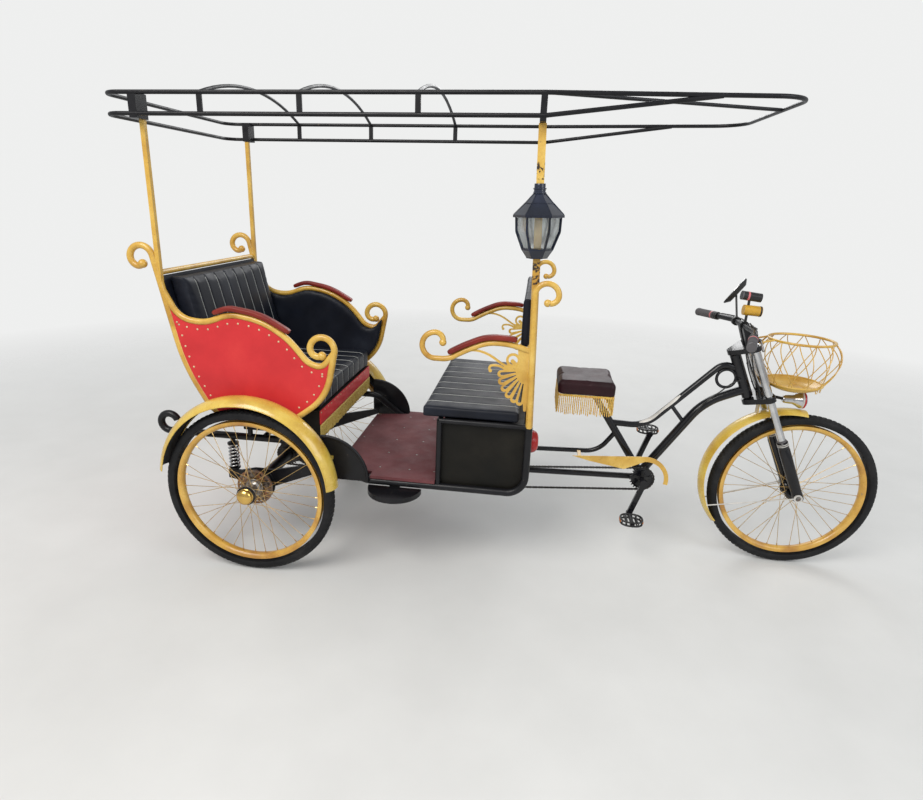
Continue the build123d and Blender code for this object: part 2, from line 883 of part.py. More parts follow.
def bracket_face():
    """A pierced shell-shaped fan with a volute and two leaf scrolls."""
    face = linked(disc_at((952, 878), 11), disc_at((1018, 905), 12), disc_at(fan_centre, 12))
    face += linked(disc_at((1012, 905), 20), disc_at((1008, 945), 20))
    face += linked(disc_at(fan_centre, 14), disc_at((1026, 726), 5))
    for angle, reach in fan_petals:
        face += linked(disc_at(fan_centre, 12), disc_at(fan_point(angle, reach), petal_radius))
    face += disc_at(volute_centre, volute_radius)
    face -= disc_at(volute_centre, volute_radius - volute_width)
    face += linked(disc_at((971, 904), 7), disc_at((984, 893), 6))
    for angle, reach in fan_petals:
        inner = disc_at(fan_point(angle, 0.42 * reach), slot_radius / 3)
        face -= linked(inner, disc_at(fan_point(angle, reach - 3), slot_radius))
    stem = [(952, 884), (921, 901), (901, 914), (862, 931), (826, 934)]
    leaf = [(948, 872), (925, 884), (899, 884)]
    face += flat_scroll(stem, (0, 0, 1), [(22, 170), (13, 120)], 8)
    face += flat_scroll(leaf, (0, 0, 1), [(11, 130)], 6)
    return face


brackets = []
for _, side in sides:
    plate = flat_in_side(bracket_face(), side * body_half_width, bracket_thickness)
    arm_edges = bent_edges(at_side(bench_arm_line, side * body_half_width))
    fat_arm = tube(arm_edges, bench_tube_radius + seat_clearance)
    y = side * body_half_width
    fat_post = bar((post_x(600), y, 600), (post_x(1200), y, 1200), post_width + 0.6, post_width + 0.6)
    brackets.append(largest(plate - fat_arm - fat_post))
keep("bench_brackets", Compound(brackets))


# Floor, steps, shields and fenders

shield_y = rail_y + rail_radius + seat_clearance + 2
shields = []
floor_z = floor_rail_z + rail_radius + seat_clearance
floor_front_x = bench_rear_x - cross_radius - seat_clearance
floor_notch_x = 452
floor_outline = [
    (floor_front_x, body_half_width),
    (floor_notch_x, body_half_width),
    (floor_notch_x, rail_y - 24),
    (floor_back_x, rear_rail_y - rail_radius - moving_clearance),
]
floor_outline += [(x, -y) for x, y in reversed(floor_outline)]
floor = Pos(0, 0, floor_z) * extrude(make_face(Polyline(*floor_outline, close=True)), amount=floor_thickness)
for _, side in sides:
    arc = ThreePointArc((262, 560), (388, 518), (444, 386))
    outline = make_face([Line((444, 386), (262, 386)), Line((262, 386), (262, 560)), arc])
    plane = Plane(origin=(0, side * shield_y, 0), x_dir=(1, 0, 0), z_dir=(0, -1, 0))
    plate = extrude(plane * outline, amount=2, both=True)
    edge = tube([plane.from_local_coords(arc)], 6)
    shields.append(plate + Pos(0, side * 4, 0) * edge)
keep("floor_board", floor)
keep("wheel_shields", Compound(shields))

steps = []
for _, side in sides:
    y_in = side * (body_half_width - 25)
    half = step_half_length
    rounded = ThreePointArc((step_x - half, 0), (step_x, -step_width), (step_x + half, 0))
    face = make_face([rounded, Line((step_x + half, 0), (step_x - half, 0))])
    plate = extrude(face, amount=step_thickness)
    if side > 0:
        plate = mirror(plate, about=Plane.XZ)
    plate = Pos(0, y_in, 340) * plate
    bracket_top = floor_rail_z - rail_radius - seat_clearance
    bracket = box_between((step_x - 20, y_in - 8, 350), (step_x + 20, y_in + 8, bracket_top))
    steps.append(plate + bracket)
keep("step_plates", Compound(steps))


def fender(centre_x, centre_z, radius, width, sheet, first_angle, last_angle, drop):
    """A crowned mudguard, from first_angle to last_angle above the forward direction."""
    half = width / 2
    outer = ThreePointArc((radius - drop, -half), (radius, 0), (radius - drop, half))
    inner = ThreePointArc((radius - drop - sheet, -half), (radius - sheet, 0), (radius - drop - sheet, half))
    ends = [Line(outer @ 0, inner @ 0), Line(outer @ 1, inner @ 1)]
    face = make_face([outer, inner] + ends)
    swept = revolve(Rot(0, -first_angle, 0) * face, axis=Axis.Y, revolution_arc=-(last_angle - first_angle))
    return Pos(centre_x, 0, centre_z) * swept


rear_fenders = []
for _, side in sides:
    guard = fender(fender_centre_x, fender_centre_z, fender_radius, fender_width, fender_sheet, 3, 173, 26)
    guard = Pos(0, side * track / 2, 0) * guard
    inner_edge = side * (track / 2 - fender_width / 2)
    shield_face = side * (shield_y + 2 + seat_clearance)
    rail_face = side * (body_half_width + gold_tube_radius + seat_clearance)
    edge_z = fender_centre_z + fender_radius - 27
    tabs = [
        box_between((294, shield_face, 470), (310, inner_edge + side * 6, 483)),
        box_between((-18, rail_face, 596), (18, rail_face + side * 4, edge_z)),
        box_between((-18, rail_face, edge_z - 4), (18, inner_edge + side * 6, edge_z)),
    ]
    rear_fenders.append(joined([guard] + tabs))
keep("rear_fenders", Compound(rear_fenders))
front_guard = fender(*front_fender_centre, front_fender_radius, front_fender_width, fender_sheet, 80, 221, 14)
guard_stays = [bar((1963, 0, 656), (1963, 0, 719.5), 30, 4)]
for _, side in sides:
    eye_y = side * (fork_half_width + lower_leg_radius + seat_clearance)
    eye = y_cylinder(axle_radius + 7, eye_y, eye_y + side * 4)
    eye -= y_cylinder(axle_radius + seat_clearance, -120, 120)
    guard_stays.append(Pos(wheelbase, 0, wheel_radius) * eye)
    stay_end = (wheelbase - axle_radius - 4, eye_y + side * 2, wheel_radius - 2)
    guard_stays.append(rod((1822.5, side * 38.4, 246.4), stay_end, 2.5))
keep("front_fender", joined([front_guard] + guard_stays))


# Roof frame


def hoop_z(x):
    """Height of the upper hoop's centre line."""
    return roof_rear_z + roof_rise * (x - roof_rear_x)


def hoop_edges(corners):
    """One side of the upper hoop: tight corners at the rear, wide ones at the front."""
    halfway = (Vector(*corners[2]) + Vector(*corners[3])) * 0.5
    halfway = (halfway.X, halfway.Y, halfway.Z)
    rear = bent_edges(corners[:3] + [halfway], radius=roof_rear_bend)
    front = bent_edges([halfway] + corners[3:], radius=roof_front_bend)
    return rear + front


def roof_frame():
    pieces = []
    merge_x = 1545
    for _, side in sides:
        wide = side * roof_half_width
        narrow = side * roof_front_half_width
        upper = [
            (roof_rear_x, 0),
            (roof_rear_x, wide),
            (1019, wide),
            (roof_front_x, narrow),
            (roof_front_x, 0),
        ]
        corners = [(x, y, hoop_z(x)) for x, y in upper]
        pieces.append(tube(hoop_edges(corners), roof_tube_radius))
        lower = [(x, y, hoop_z(x) - roof_hoop_gap) for x, y in upper[:3]]
        merge_y = wide + (narrow - wide) * (merge_x - 1019) / (roof_front_x - 1019)
        lower.append((merge_x, merge_y, hoop_z(merge_x) - 2))
        pieces.append(tube(bent_edges(lower, radius=roof_rear_bend), roof_tube_radius))
        for post, half_length, top in (
            (rear_post_x, 14, rear_post_top),
            (post_x(front_post_top), 10, front_post_top),
        ):
            inner = side * (body_half_width - post_width / 2)
            outer = side * (roof_half_width + 4)
            low = (post - half_length, inner, top + 0.8)
            high = (post + half_length, outer, hoop_z(post))
            pieces.append(box_between(low, high))
        for x in bow_places:
            z = hoop_z(x)
            pieces.append(box_between((x - 9, wide - 3, z - roof_hoop_gap), (x + 9, wide + 3, z)))
    brace_foot = (brace_foot_x, -roof_half_width + 1, hoop_z(brace_foot_x))
    pieces.append(rod(brace_foot, (roof_front_x, -brace_head_y, hoop_z(roof_front_x)), roof_bow_radius))
    for x in bow_places:
        z = hoop_z(x)
        bow = ThreePointArc((x, -roof_half_width, z), (x, 0, z + bow_height), (x, roof_half_width, z))
        pieces.append(tube([bow], roof_bow_radius))
    return joined(pieces)


keep("roof_frame", roof_frame())


# Lanterns threaded on the front posts

lantern_base_z = 1262
lantern_eaves = 130
lantern_hole = post_width / 2 + 0.8

# Height above the base and radius of each level
lantern_roof_levels = [(0, 84), (8, 84), (44, 46), (76, 17)]
lantern_base_levels = [(0, 34), (26, 52), (32, 52)]
lantern_rib_levels = [(28, 50), (85, 72), (133, 74)]
lantern_glass_outside = [(32.3, 45), (85, 66), (129.7, 68)]
lantern_glass_inside = [(32.2, 42), (85, 63), (129.8, 65)]
lantern_rib_radius = 3


def hexagon_loft(levels):
    """A six-sided body through (height, radius) levels."""
    bodies = []
    for (low_z, low_r), (high_z, high_r) in zip(levels, levels[1:]):
        low = Plane(origin=(0, 0, low_z)) * RegularPolygon(low_r, 6)
        high = Plane(origin=(0, 0, high_z)) * RegularPolygon(high_r, 6)
        bodies.append(loft([low, high]))
    return joined(bodies)


lanterns = []
glasses = []
for _, side in sides:
    hole = box_between((-lantern_hole, -lantern_hole, -300), (lantern_hole, lantern_hole, 300))
    roof = hexagon_loft(lantern_roof_levels)
    base = hexagon_loft(lantern_base_levels)
    ribs = []
    for number in range(6):
        turn = math.radians(60 * number)
        knots = [(radius * math.cos(turn), radius * math.sin(turn), z) for z, radius in lantern_rib_levels]
        for start, end in zip(knots, knots[1:]):
            ribs.append(rod(start, end, lantern_rib_radius))
    body = joined([Pos(0, 0, lantern_eaves) * roof, base] + ribs)
    glass = hexagon_loft(lantern_glass_outside) - hexagon_loft(lantern_glass_inside)
    place = Pos(post_x(lantern_base_z), side * body_half_width, lantern_base_z) * Rot(0, -front_post_lean, 0)
    lanterns.append(place * (body - hole))
    glasses.append(place * glass)
keep("lanterns", Compound(lanterns))
keep("lantern_glass", Compound(glasses))


# Chains, sprockets, cranks and pedals


def pitch_radius(teeth):
    return chain_pitch / 2 / math.sin(math.pi / teeth)


def sprocket(teeth, bore, thickness):
    """A toothed plate in the XZ plane, with a gap between teeth on the X axis."""
    pitch_r = pitch_radius(teeth)
    root = pitch_r - 4.1
    tip = pitch_r + 3.2
    points = []
    for tooth in range(teeth):
        for share, radius in ((0.2, root), (0.42, tip), (0.58, tip), (0.8, root)):
            angle = 2 * math.pi * (tooth + share) / teeth
            points.append((radius * math.cos(angle), radius * math.sin(angle)))
    plate = side_plate(points, 0, thickness)
    return plate - y_cylinder(bore, -20, 20)


def chain(first, second, y):
    """Two side bands round two sprockets, tied by pins along the straight runs."""
    (x1, z1, r1), (x2, z2, r2) = first, second
    loops = []
    for offset in (chain_height / 2, -chain_height / 2):
        near = (Pos(x1, z1) * Circle(r1 + offset)).edges()
        far = (Pos(x2, z2) * Circle(r2 + offset)).edges()
        loops.append(make_hull([*near, *far]))
    outer, inner = loops
    band = outer - inner
    pieces = []
    for side in (-1, 1):
        plate_y = y + side * (chain_gap + chain_plate) / 2
        plane = Plane(origin=(0, plate_y, 0), x_dir=(1, 0, 0), z_dir=(0, -1, 0))
        pieces.append(extrude(plane * band, amount=chain_plate / 2, both=True))
    along = Vector(x2 - x1, z2 - z1, 0)
    distance = along.length
    lean = math.acos((r1 - r2) / distance)
    base = math.atan2(z2 - z1, x2 - x1)
    count = 8
    for sign in (-1, 1):
        angle = base + sign * lean
        for step in range(1, count):
            share = step / count
            x = x1 + r1 * math.cos(angle) + share * (x2 + r2 * math.cos(angle) - x1 - r1 * math.cos(angle))
            z = z1 + r1 * math.sin(angle) + share * (z2 + r2 * math.sin(angle) - z1 - r1 * math.sin(angle))
            half = chain_gap / 2 + chain_plate / 2
            pieces.append(rod((x, y - half, z), (x, y + half, z), 2))
    return joined(pieces)


crank_sprocket = (crank_x, crank_z, pitch_radius(sprocket_teeth))
relay_large = (relay_x, relay_z, pitch_radius(sprocket_teeth))
relay_small = (relay_x, relay_z, pitch_radius(relay_teeth))
axle_sprocket = (0, wheel_radius, pitch_radius(sprocket_teeth))
front_chain = chain(crank_sprocket, relay_large, front_chain_y)
rear_chain = chain(axle_sprocket, relay_small, rear_chain_y)
keep("chains", Compound([front_chain, rear_chain]))

relay_place = Pos(relay_x, 0, relay_z)
relay = joined(
    [
        y_cylinder(relay_shaft_radius, -122, -20),
        y_cylinder(18, -94, -52),
        Pos(0, front_chain_y, 0) * sprocket(sprocket_teeth, 6, sprocket_thickness),
        Pos(0, rear_chain_y, 0) * sprocket(relay_teeth, 6, sprocket_thickness),
    ]
)
keep("relay_sprockets", relay_place * relay)

freewheel = Pos(0, rear_chain_y, 0) * sprocket(sprocket_teeth, 20, sprocket_thickness)
freewheel += y_cylinder(34, -100, -74)
freewheel -= y_cylinder(axle_tube_radius + bearing_clearance, -120, -50)
keep("axle_sprocket", Pos(0, 0, wheel_radius) * freewheel)


def crankset():
    pieces = [y_cylinder(crank_axle_radius, -118, 118)]
    pieces.append(Pos(0, front_chain_y, 0) * sprocket(sprocket_teeth, 6, sprocket_thickness))
    pieces.append(y_cylinder(24, -64, -44))
    for _, side in sides:
        angle = math.radians(270 - crank_rest_angle if side < 0 else 90 - crank_rest_angle)
        tip = (crank_length * math.cos(angle), side * crank_arm_y, crank_length * math.sin(angle))
        pieces.append(bar((0, side * crank_arm_y, 0), tip, 12, 22))
        pieces.append(y_cylinder(17, side * 105, side * 119))
        pieces.append(Pos(tip[0], 0, tip[2]) * y_cylinder(13, side * 105, side * 119))
        pieces.append(Pos(tip[0], 0, tip[2]) * y_cylinder(pedal_axle_radius, side * 110, side * 225))
    return joined(pieces)


keep("crankset", Pos(*crank_centre) * crankset())
for side_name, side in sides:
    angle = math.radians(270 - crank_rest_angle if side < 0 else 90 - crank_rest_angle)
    pedal_x = crank_x + crank_length * math.cos(angle)
    pedal_z = crank_z + crank_length * math.sin(angle)
    place = Pos(pedal_x, side * pedal_y, pedal_z)
    cage = Box(*pedal_size)
    for window_x in (pedal_window_x, -pedal_window_x):
        cage -= Pos(window_x, 0, 0) * Box(*pedal_window)
    keep(f"pedal_{side_name}", place * (cage - y_cylinder(pedal_axle_radius + bearing_clearance, -60, 60)))

guard_y = front_chain_y - 14
guard_outline = make_face(
    [
        Line((1238, 437), (crank_x - 4, 458)),
        ThreePointArc((crank_x - 4, 458), (1612, 428), (1640, 340)),
        Line((1640, 340), (1622, 342)),
        ThreePointArc((1622, 342), (1600, 414), (crank_x, 436)),
        Line((crank_x, 436), (1456, 396)),
        Line((1456, 396), (1309, 420)),
        Line((1309, 420), (1238, 437)),
    ]
)
guard_plane = Plane(origin=(0, guard_y, 0), x_dir=(1, 0, 0), z_dir=(0, -1, 0))
guard = extrude(guard_plane * guard_outline, amount=1.5, both=True)
guard_stay = box_between((1262, guard_y, 430), (1276, -10 - seat_clearance, 438))
keep("chain_guard", guard + guard_stay)


# Fork, handlebar and what they carry

crown_gap = 6
crown_head_radius = 26
crown_leg_radius = 22
lower_crown_height = 22
upper_crown_height = 20
stanchion_reach = 16
leg_foot = 22
axle_local = steer_plane.to_local_coords(Vector(wheelbase, 0, wheel_radius))
lower_crown_z = -crown_gap - lower_crown_height / 2
upper_crown_z = head_length + crown_gap + upper_crown_height / 2


def crown(z, thickness):
    plate = make_hull(
        [
            *(Circle(crown_head_radius)).edges(),
            *(Pos(fork_offset, fork_half_width) * Circle(crown_leg_radius)).edges(),
            *(Pos(fork_offset, -fork_half_width) * Circle(crown_leg_radius)).edges(),
        ]
    )
    return Pos(0, 0, z) * extrude(plate, amount=thickness / 2, both=True)


crowns = crown(lower_crown_z, lower_crown_height) + crown(upper_crown_z, upper_crown_height)
crown_middle = (lower_crown_z + upper_crown_z) / 2
crowns += Pos(0, 0, crown_middle) * Cylinder(steerer_radius, upper_crown_z - lower_crown_z)
stanchions = []
lowers = []
stanchion_low = -206
for _, side in sides:
    y = side * fork_half_width
    leg_hole = Pos(fork_offset, y, 0) * Cylinder(stanchion_radius + seat_clearance, 600)
    crowns -= leg_hole
    stanchion_top = upper_crown_z + stanchion_reach
    stanchion = Cylinder(stanchion_radius, stanchion_top - stanchion_low)
    stanchions.append(Pos(fork_offset, y, (stanchion_low + stanchion_top) / 2) * stanchion)
    leg_low = axle_local.Z - leg_foot
    leg = Cylinder(lower_leg_radius, stanchion_low - leg_low - seat_clearance)
    lowers.append(Pos(fork_offset, y, (leg_low + stanchion_low) / 2) * leg)
keep("fork_crowns", steer_plane * crowns)
keep("fork_stanchions", Compound([steer_plane * leg for leg in stanchions]))
axle = Pos(wheelbase, 0, wheel_radius) * y_cylinder(axle_radius, -fork_half_width - 28, fork_half_width + 28)
keep("fork_lowers", joined([steer_plane * leg for leg in lowers] + [axle]))

bar_z = 1015
bar_centre_x = 1851
bar_radius = 11
bar_bore = bar_radius + seat_clearance
bar_bend_y = 130
bar_end_x = 1768
bar_half_span = 365
bar_end_drop = 12
clamp_radius = 18
grip_length = 118
grip_radius = 17


def handlebar():
    end = (bar_end_x, bar_half_span, bar_z - bar_end_drop)
    left = [(bar_centre_x, 0, bar_z), (bar_centre_x, bar_bend_y, bar_z), end]
    right = [(x, -y, z) for x, y, z in left]
    riser_foot = steer_plane.from_local_coords(Vector(fork_offset - 8, 0, upper_crown_z))
    pieces = [tube(bent_edges(side_line, radius=90), bar_radius) for side_line in (left, right)]
    for _, side in sides:
        foot = riser_foot + Vector(0, side * 24, 0)
        pieces.append(bar(foot, (bar_centre_x, side * 24, bar_z), 22, 26))
    below = steer_plane * Pos(fork_offset, 0, upper_crown_z + 10 + seat_clearance - 30) * Box(120, 120, 60)
    return joined(pieces) - below


keep("handlebar", handlebar())

grips = []
levers = []
for _, side in sides:
    outer = Vector(bar_end_x, side * bar_half_span, bar_z - bar_end_drop)
    inner = Vector(bar_centre_x, side * bar_bend_y, bar_z)
    along = (outer - inner).normalized()
    start = outer - along * grip_length
    sleeve = rod(start, outer + along * 4, grip_radius)
    sleeve -= rod(start - along, outer, bar_bore)
    grips.append(sleeve)
    clamp_start = start - along * 26
    clamp = rod(clamp_start, clamp_start + along * 20, grip_radius)
    clamp -= rod(clamp_start - along * 5, clamp_start + along * 30, bar_bore)
    hinge = clamp_start + along * 10 + Vector(26, 0, -6)
    blade_end = hinge + along * 110 + Vector(14, 0, -8)
    arm = rod(clamp_start + along * 10 + Vector(14, 0, -3), hinge, 7)
    levers.append(joined([clamp, arm, rod(hinge, blade_end, 5)]))
keep("grips", Compound(grips))
keep("brake_levers", Compound(levers))

mirror_size = (62, 35)
mirror_clamp_y = 100
mirror_depth = 18
mirror_plane = Plane(origin=(1848, 150, 1125), x_dir=(0.5736, 0, 0.8192), z_dir=(-0.77, 0.342, 0.539))
mirror_back = mirror_plane.offset(-mirror_depth / 2) * Ellipse(mirror_size[0] * 0.7, mirror_size[1] * 0.7)
mirror_rim = mirror_plane.offset(mirror_depth / 4) * Ellipse(*mirror_size)
mirror_head = loft([mirror_back, mirror_rim]) + extrude(mirror_rim, amount=mirror_depth / 4)
mirror_stem = rod((bar_centre_x, mirror_clamp_y, bar_z + 15), (1848, 150, 1120), 4)
mirror_ring = y_cylinder(clamp_radius, -9, 9) - y_cylinder(bar_bore, -20, 20)
mirror_clamp = Pos(bar_centre_x, mirror_clamp_y, bar_z) * mirror_ring
keep("mirror", joined([mirror_head, mirror_stem, mirror_clamp]))

lamp_ring = y_cylinder(clamp_radius, -10, 10) - y_cylinder(bar_bore, -20, 20)
lamp_clamp = Pos(bar_centre_x, 0, bar_z) * lamp_ring
lamp_post = rod((bar_centre_x + 3, 0, bar_z + 15), (bar_centre_x + 3, 0, 1130), 5)
lamp_body = rod((1838, 0, 1076), (1905, 0, 1072), 20)
horn_body = rod((1822, 0, 1132), (1896, 0, 1124), 17)
keep("handlebar_lamps", joined([lamp_clamp, lamp_post, lamp_body, horn_body]))

lens_x = 2132
light_z = 729
light_bracket = bar((2004, 0, 737), (2060, 0, light_z), 16, 8)
light_back = [(2050, 0), (2050, 12), (2056, 16), (2088, 18)]
light_bell = [(2112, 31), (2120, 34), (lens_x, 34), (lens_x, 0)]
light_profile = light_back + light_bell
light_body = Pos(0, 0, light_z) * revolve(make_face(Polyline(*light_profile, close=True)), axis=Axis.X)
keep("headlight", light_body + light_bracket)
keep("headlight_lens", rod((lens_x + seat_clearance, 0, light_z), (lens_x + 10, 0, light_z), 30))

basket_x = 2076
basket_rim = (118, 972)
basket_foot = (105, 801)
basket_wire_levels = [(134, 850), (150, 900), (141, 942)]
basket_wire_count = 12
basket_wire_twist = 34
basket_wire_radius = 1.8
basket_rim_tube = 5
basket_foot_tube = 4
dish_profile = [(0, 771), (66, 775), (96, 788), (106, 801), (102, 801), (92, 792), (62, 780), (0, 780)]


def basket_wire(start_angle, twist, offset):
    """A wire that climbs the basket's belly from the dish to the rim while it turns."""
    levels = [basket_foot] + [(radius + offset, z) for radius, z in basket_wire_levels] + [basket_rim]
    points = []
    for radius, z in levels:
        share = (z - basket_foot[1]) / (basket_rim[1] - basket_foot[1])
        angle = math.radians(start_angle + twist * share)
        points.append((radius * math.cos(angle), radius * math.sin(angle), z))
    return tube([Spline(*points)], basket_wire_radius)


def basket():
    """Crossing wires between a thick rim and a dish, hung from the upper crown."""
    pieces = [
        Pos(0, 0, basket_rim[1]) * Torus(basket_rim[0], basket_rim_tube),
        Pos(0, 0, basket_foot[1]) * Torus(basket_foot[0], basket_foot_tube),
        revolve(Plane.XZ * make_face(Polyline(*dish_profile, close=True)), axis=Axis.Z),
    ]
    for number in range(basket_wire_count):
        angle = 360 * number / basket_wire_count
        pieces.append(basket_wire(angle, basket_wire_twist, basket_wire_radius + 0.3))
        pieces.append(basket_wire(angle + 9, -basket_wire_twist, -basket_wire_radius - 0.3))
    for _, side in sides:
        foot_at = Vector(fork_offset + 22 + seat_clearance, side * 40, upper_crown_z)
        foot = steer_plane.from_local_coords(foot_at)
        rim_end = (-math.sqrt(basket_rim[0] ** 2 - 40**2), side * 40, basket_rim[1])
        pieces.append(bar(foot - Vector(basket_x, 0, 0), rim_end, 10, 7))
    return Pos(basket_x, 0, 0) * joined(pieces)


keep("basket", basket())

# Write every node, shifted to the reference point

os.makedirs("parts", exist_ok=True)
for node, shape in parts.items():
    export_step(Pos(-origin_x, 0, 0) * shape, f"parts/{node}.step")
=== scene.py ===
import math
import random

import bmesh
import bpy
from mathutils import Matrix, Vector
from mathutils.bvhtree import BVHTree


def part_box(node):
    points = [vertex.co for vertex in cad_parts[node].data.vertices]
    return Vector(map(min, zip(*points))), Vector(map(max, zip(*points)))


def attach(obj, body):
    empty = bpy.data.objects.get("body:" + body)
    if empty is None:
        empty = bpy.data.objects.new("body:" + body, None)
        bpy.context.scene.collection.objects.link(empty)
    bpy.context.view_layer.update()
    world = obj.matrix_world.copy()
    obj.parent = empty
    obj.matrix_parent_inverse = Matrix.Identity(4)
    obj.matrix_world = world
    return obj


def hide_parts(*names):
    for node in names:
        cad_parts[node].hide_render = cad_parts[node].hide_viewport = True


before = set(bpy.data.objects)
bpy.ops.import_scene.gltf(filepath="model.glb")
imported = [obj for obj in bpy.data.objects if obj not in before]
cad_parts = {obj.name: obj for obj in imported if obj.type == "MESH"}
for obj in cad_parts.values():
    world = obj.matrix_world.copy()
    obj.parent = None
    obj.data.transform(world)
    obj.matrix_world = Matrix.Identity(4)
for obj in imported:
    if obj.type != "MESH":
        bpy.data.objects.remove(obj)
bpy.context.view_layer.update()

MM = 0.001
SIDES = (("right", -1), ("left", 1))
FORWARD = Vector((1, 0, 0))
ACROSS = Vector((0, 1, 0))
UP = Vector((0, 0, 1))
AXES = {"X": (FORWARD, ACROSS, UP), "Y": (ACROSS, FORWARD, UP), "Z": (UP, FORWARD, ACROSS)}

# Places, from the frame


def middle(node):
    low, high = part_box(node)
    return (low + high) / 2


front_axle = middle("front_tyre")
rear_axle_x = middle("rear_tyre_right").x
wheel_radius = (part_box("front_tyre")[1].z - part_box("front_tyre")[0].z) / 2
RAKE = math.radians(24.5)
STEER_AXIS = Vector((-math.sin(RAKE), 0, math.cos(RAKE)))
STEER_SIDE = Vector((math.cos(RAKE), 0, math.sin(RAKE)))


def step(x, y, z):
    """A vector given in millimetres."""
    return Vector((x, y, z)) * MM


def at(x, y, z):
    """A point given in millimetres from the ground under the rear axle."""
    return Vector((rear_axle_x + x * MM, y * MM, z * MM))


HEAD_FOOT = at(1915, 0, 730)


def on_head(x, y, z):
    """A point given in millimetres along the raked steering head."""
    return HEAD_FOOT + (STEER_SIDE * x + ACROSS * y + STEER_AXIS * z) * MM


def arc(radius, degrees):
    """The two legs of a radius at an angle."""
    angle = math.radians(degrees)
    return radius * math.cos(angle), radius * math.sin(angle)


def ring_place(centre, radius, degrees):
    """A point in millimetres round the upright axis through centre."""
    x, y = arc(radius, degrees)
    return centre + step(x, y, 0)


# Paths


def path_length(line):
    return sum((b - a).length for a, b in zip(line, line[1:]))


def along_line(line, share):
    """The place at a share of a line's length."""
    rest = share * path_length(line)
    for a, b in zip(line, line[1:]):
        length = (b - a).length
        if rest <= length:
            return a.lerp(b, rest / length if length else 0)
        rest -= length
    return line[-1].copy()


def smooth_path(points, steps=8):
    """A smooth curve through points."""
    path = []
    for i in range(len(points) - 1):
        p0 = points[max(i - 1, 0)]
        p1 = points[i]
        p2 = points[i + 1]
        p3 = points[min(i + 2, len(points) - 1)]
        b = p2 - p0
        c = 2 * p0 - 5 * p1 + 4 * p2 - p3
        d = -p0 + 3 * p1 - 3 * p2 + p3
        for k in range(steps):
            t = k / steps
            path.append((2 * p1 + b * t + c * t * t + d * t * t * t) / 2)
    path.append(points[-1])
    return path


def shifted(points, distance):
    """(x, z) corners moved sideways to the left of their path."""
    corners = [Vector(point) for point in points]
    moved = []
    for i, corner in enumerate(corners):
        inward = (corner - corners[i - 1]).normalized() if i else (corners[1] - corner).normalized()
        outward = (corners[i + 1] - corner).normalized() if i < len(corners) - 1 else inward
        left = Vector((-inward.y - outward.y, inward.x + outward.x)).normalized()
        moved.append(corner + left * distance / max(0.5, math.cos(inward.angle(outward) / 2)))
    return moved


def bent_path(points, share=0.45, steps=8):
    """Follows (x, z) corners, each rounded by one tangent arc, as points in millimetres."""
    corners = [Vector(point) for point in points]
    path = [corners[0]]
    for before, corner, after in zip(corners, corners[1:], corners[2:]):
        inward = (corner - before).normalized()
        outward = (after - corner).normalized()
        half_turn = inward.angle(outward) / 2
        set_back = share * min((corner - before).length, (after - corner).length)
        radius = set_back / math.tan(half_turn)
        centre = corner + (outward - inward).normalized() * radius / math.cos(half_turn)
        start = corner - inward * set_back - centre
        end = corner + outward * set_back - centre
        for k in range(steps + 1):
            t = k / steps
            path.append(centre + (start * (1 - t) + end * t).normalized() * radius)
    path.append(corners[-1])
    return path


# Mesh building


def new_object(name, data):
    obj = bpy.data.objects.new(name, data)
    bpy.context.scene.collection.objects.link(obj)
    return obj


def smooth_by_angle(obj, degrees):
    """Smooth shading that keeps edges sharper than the angle."""
    obj.data.shade_smooth()
    obj.data.set_sharp_from_angle(angle=math.radians(degrees))


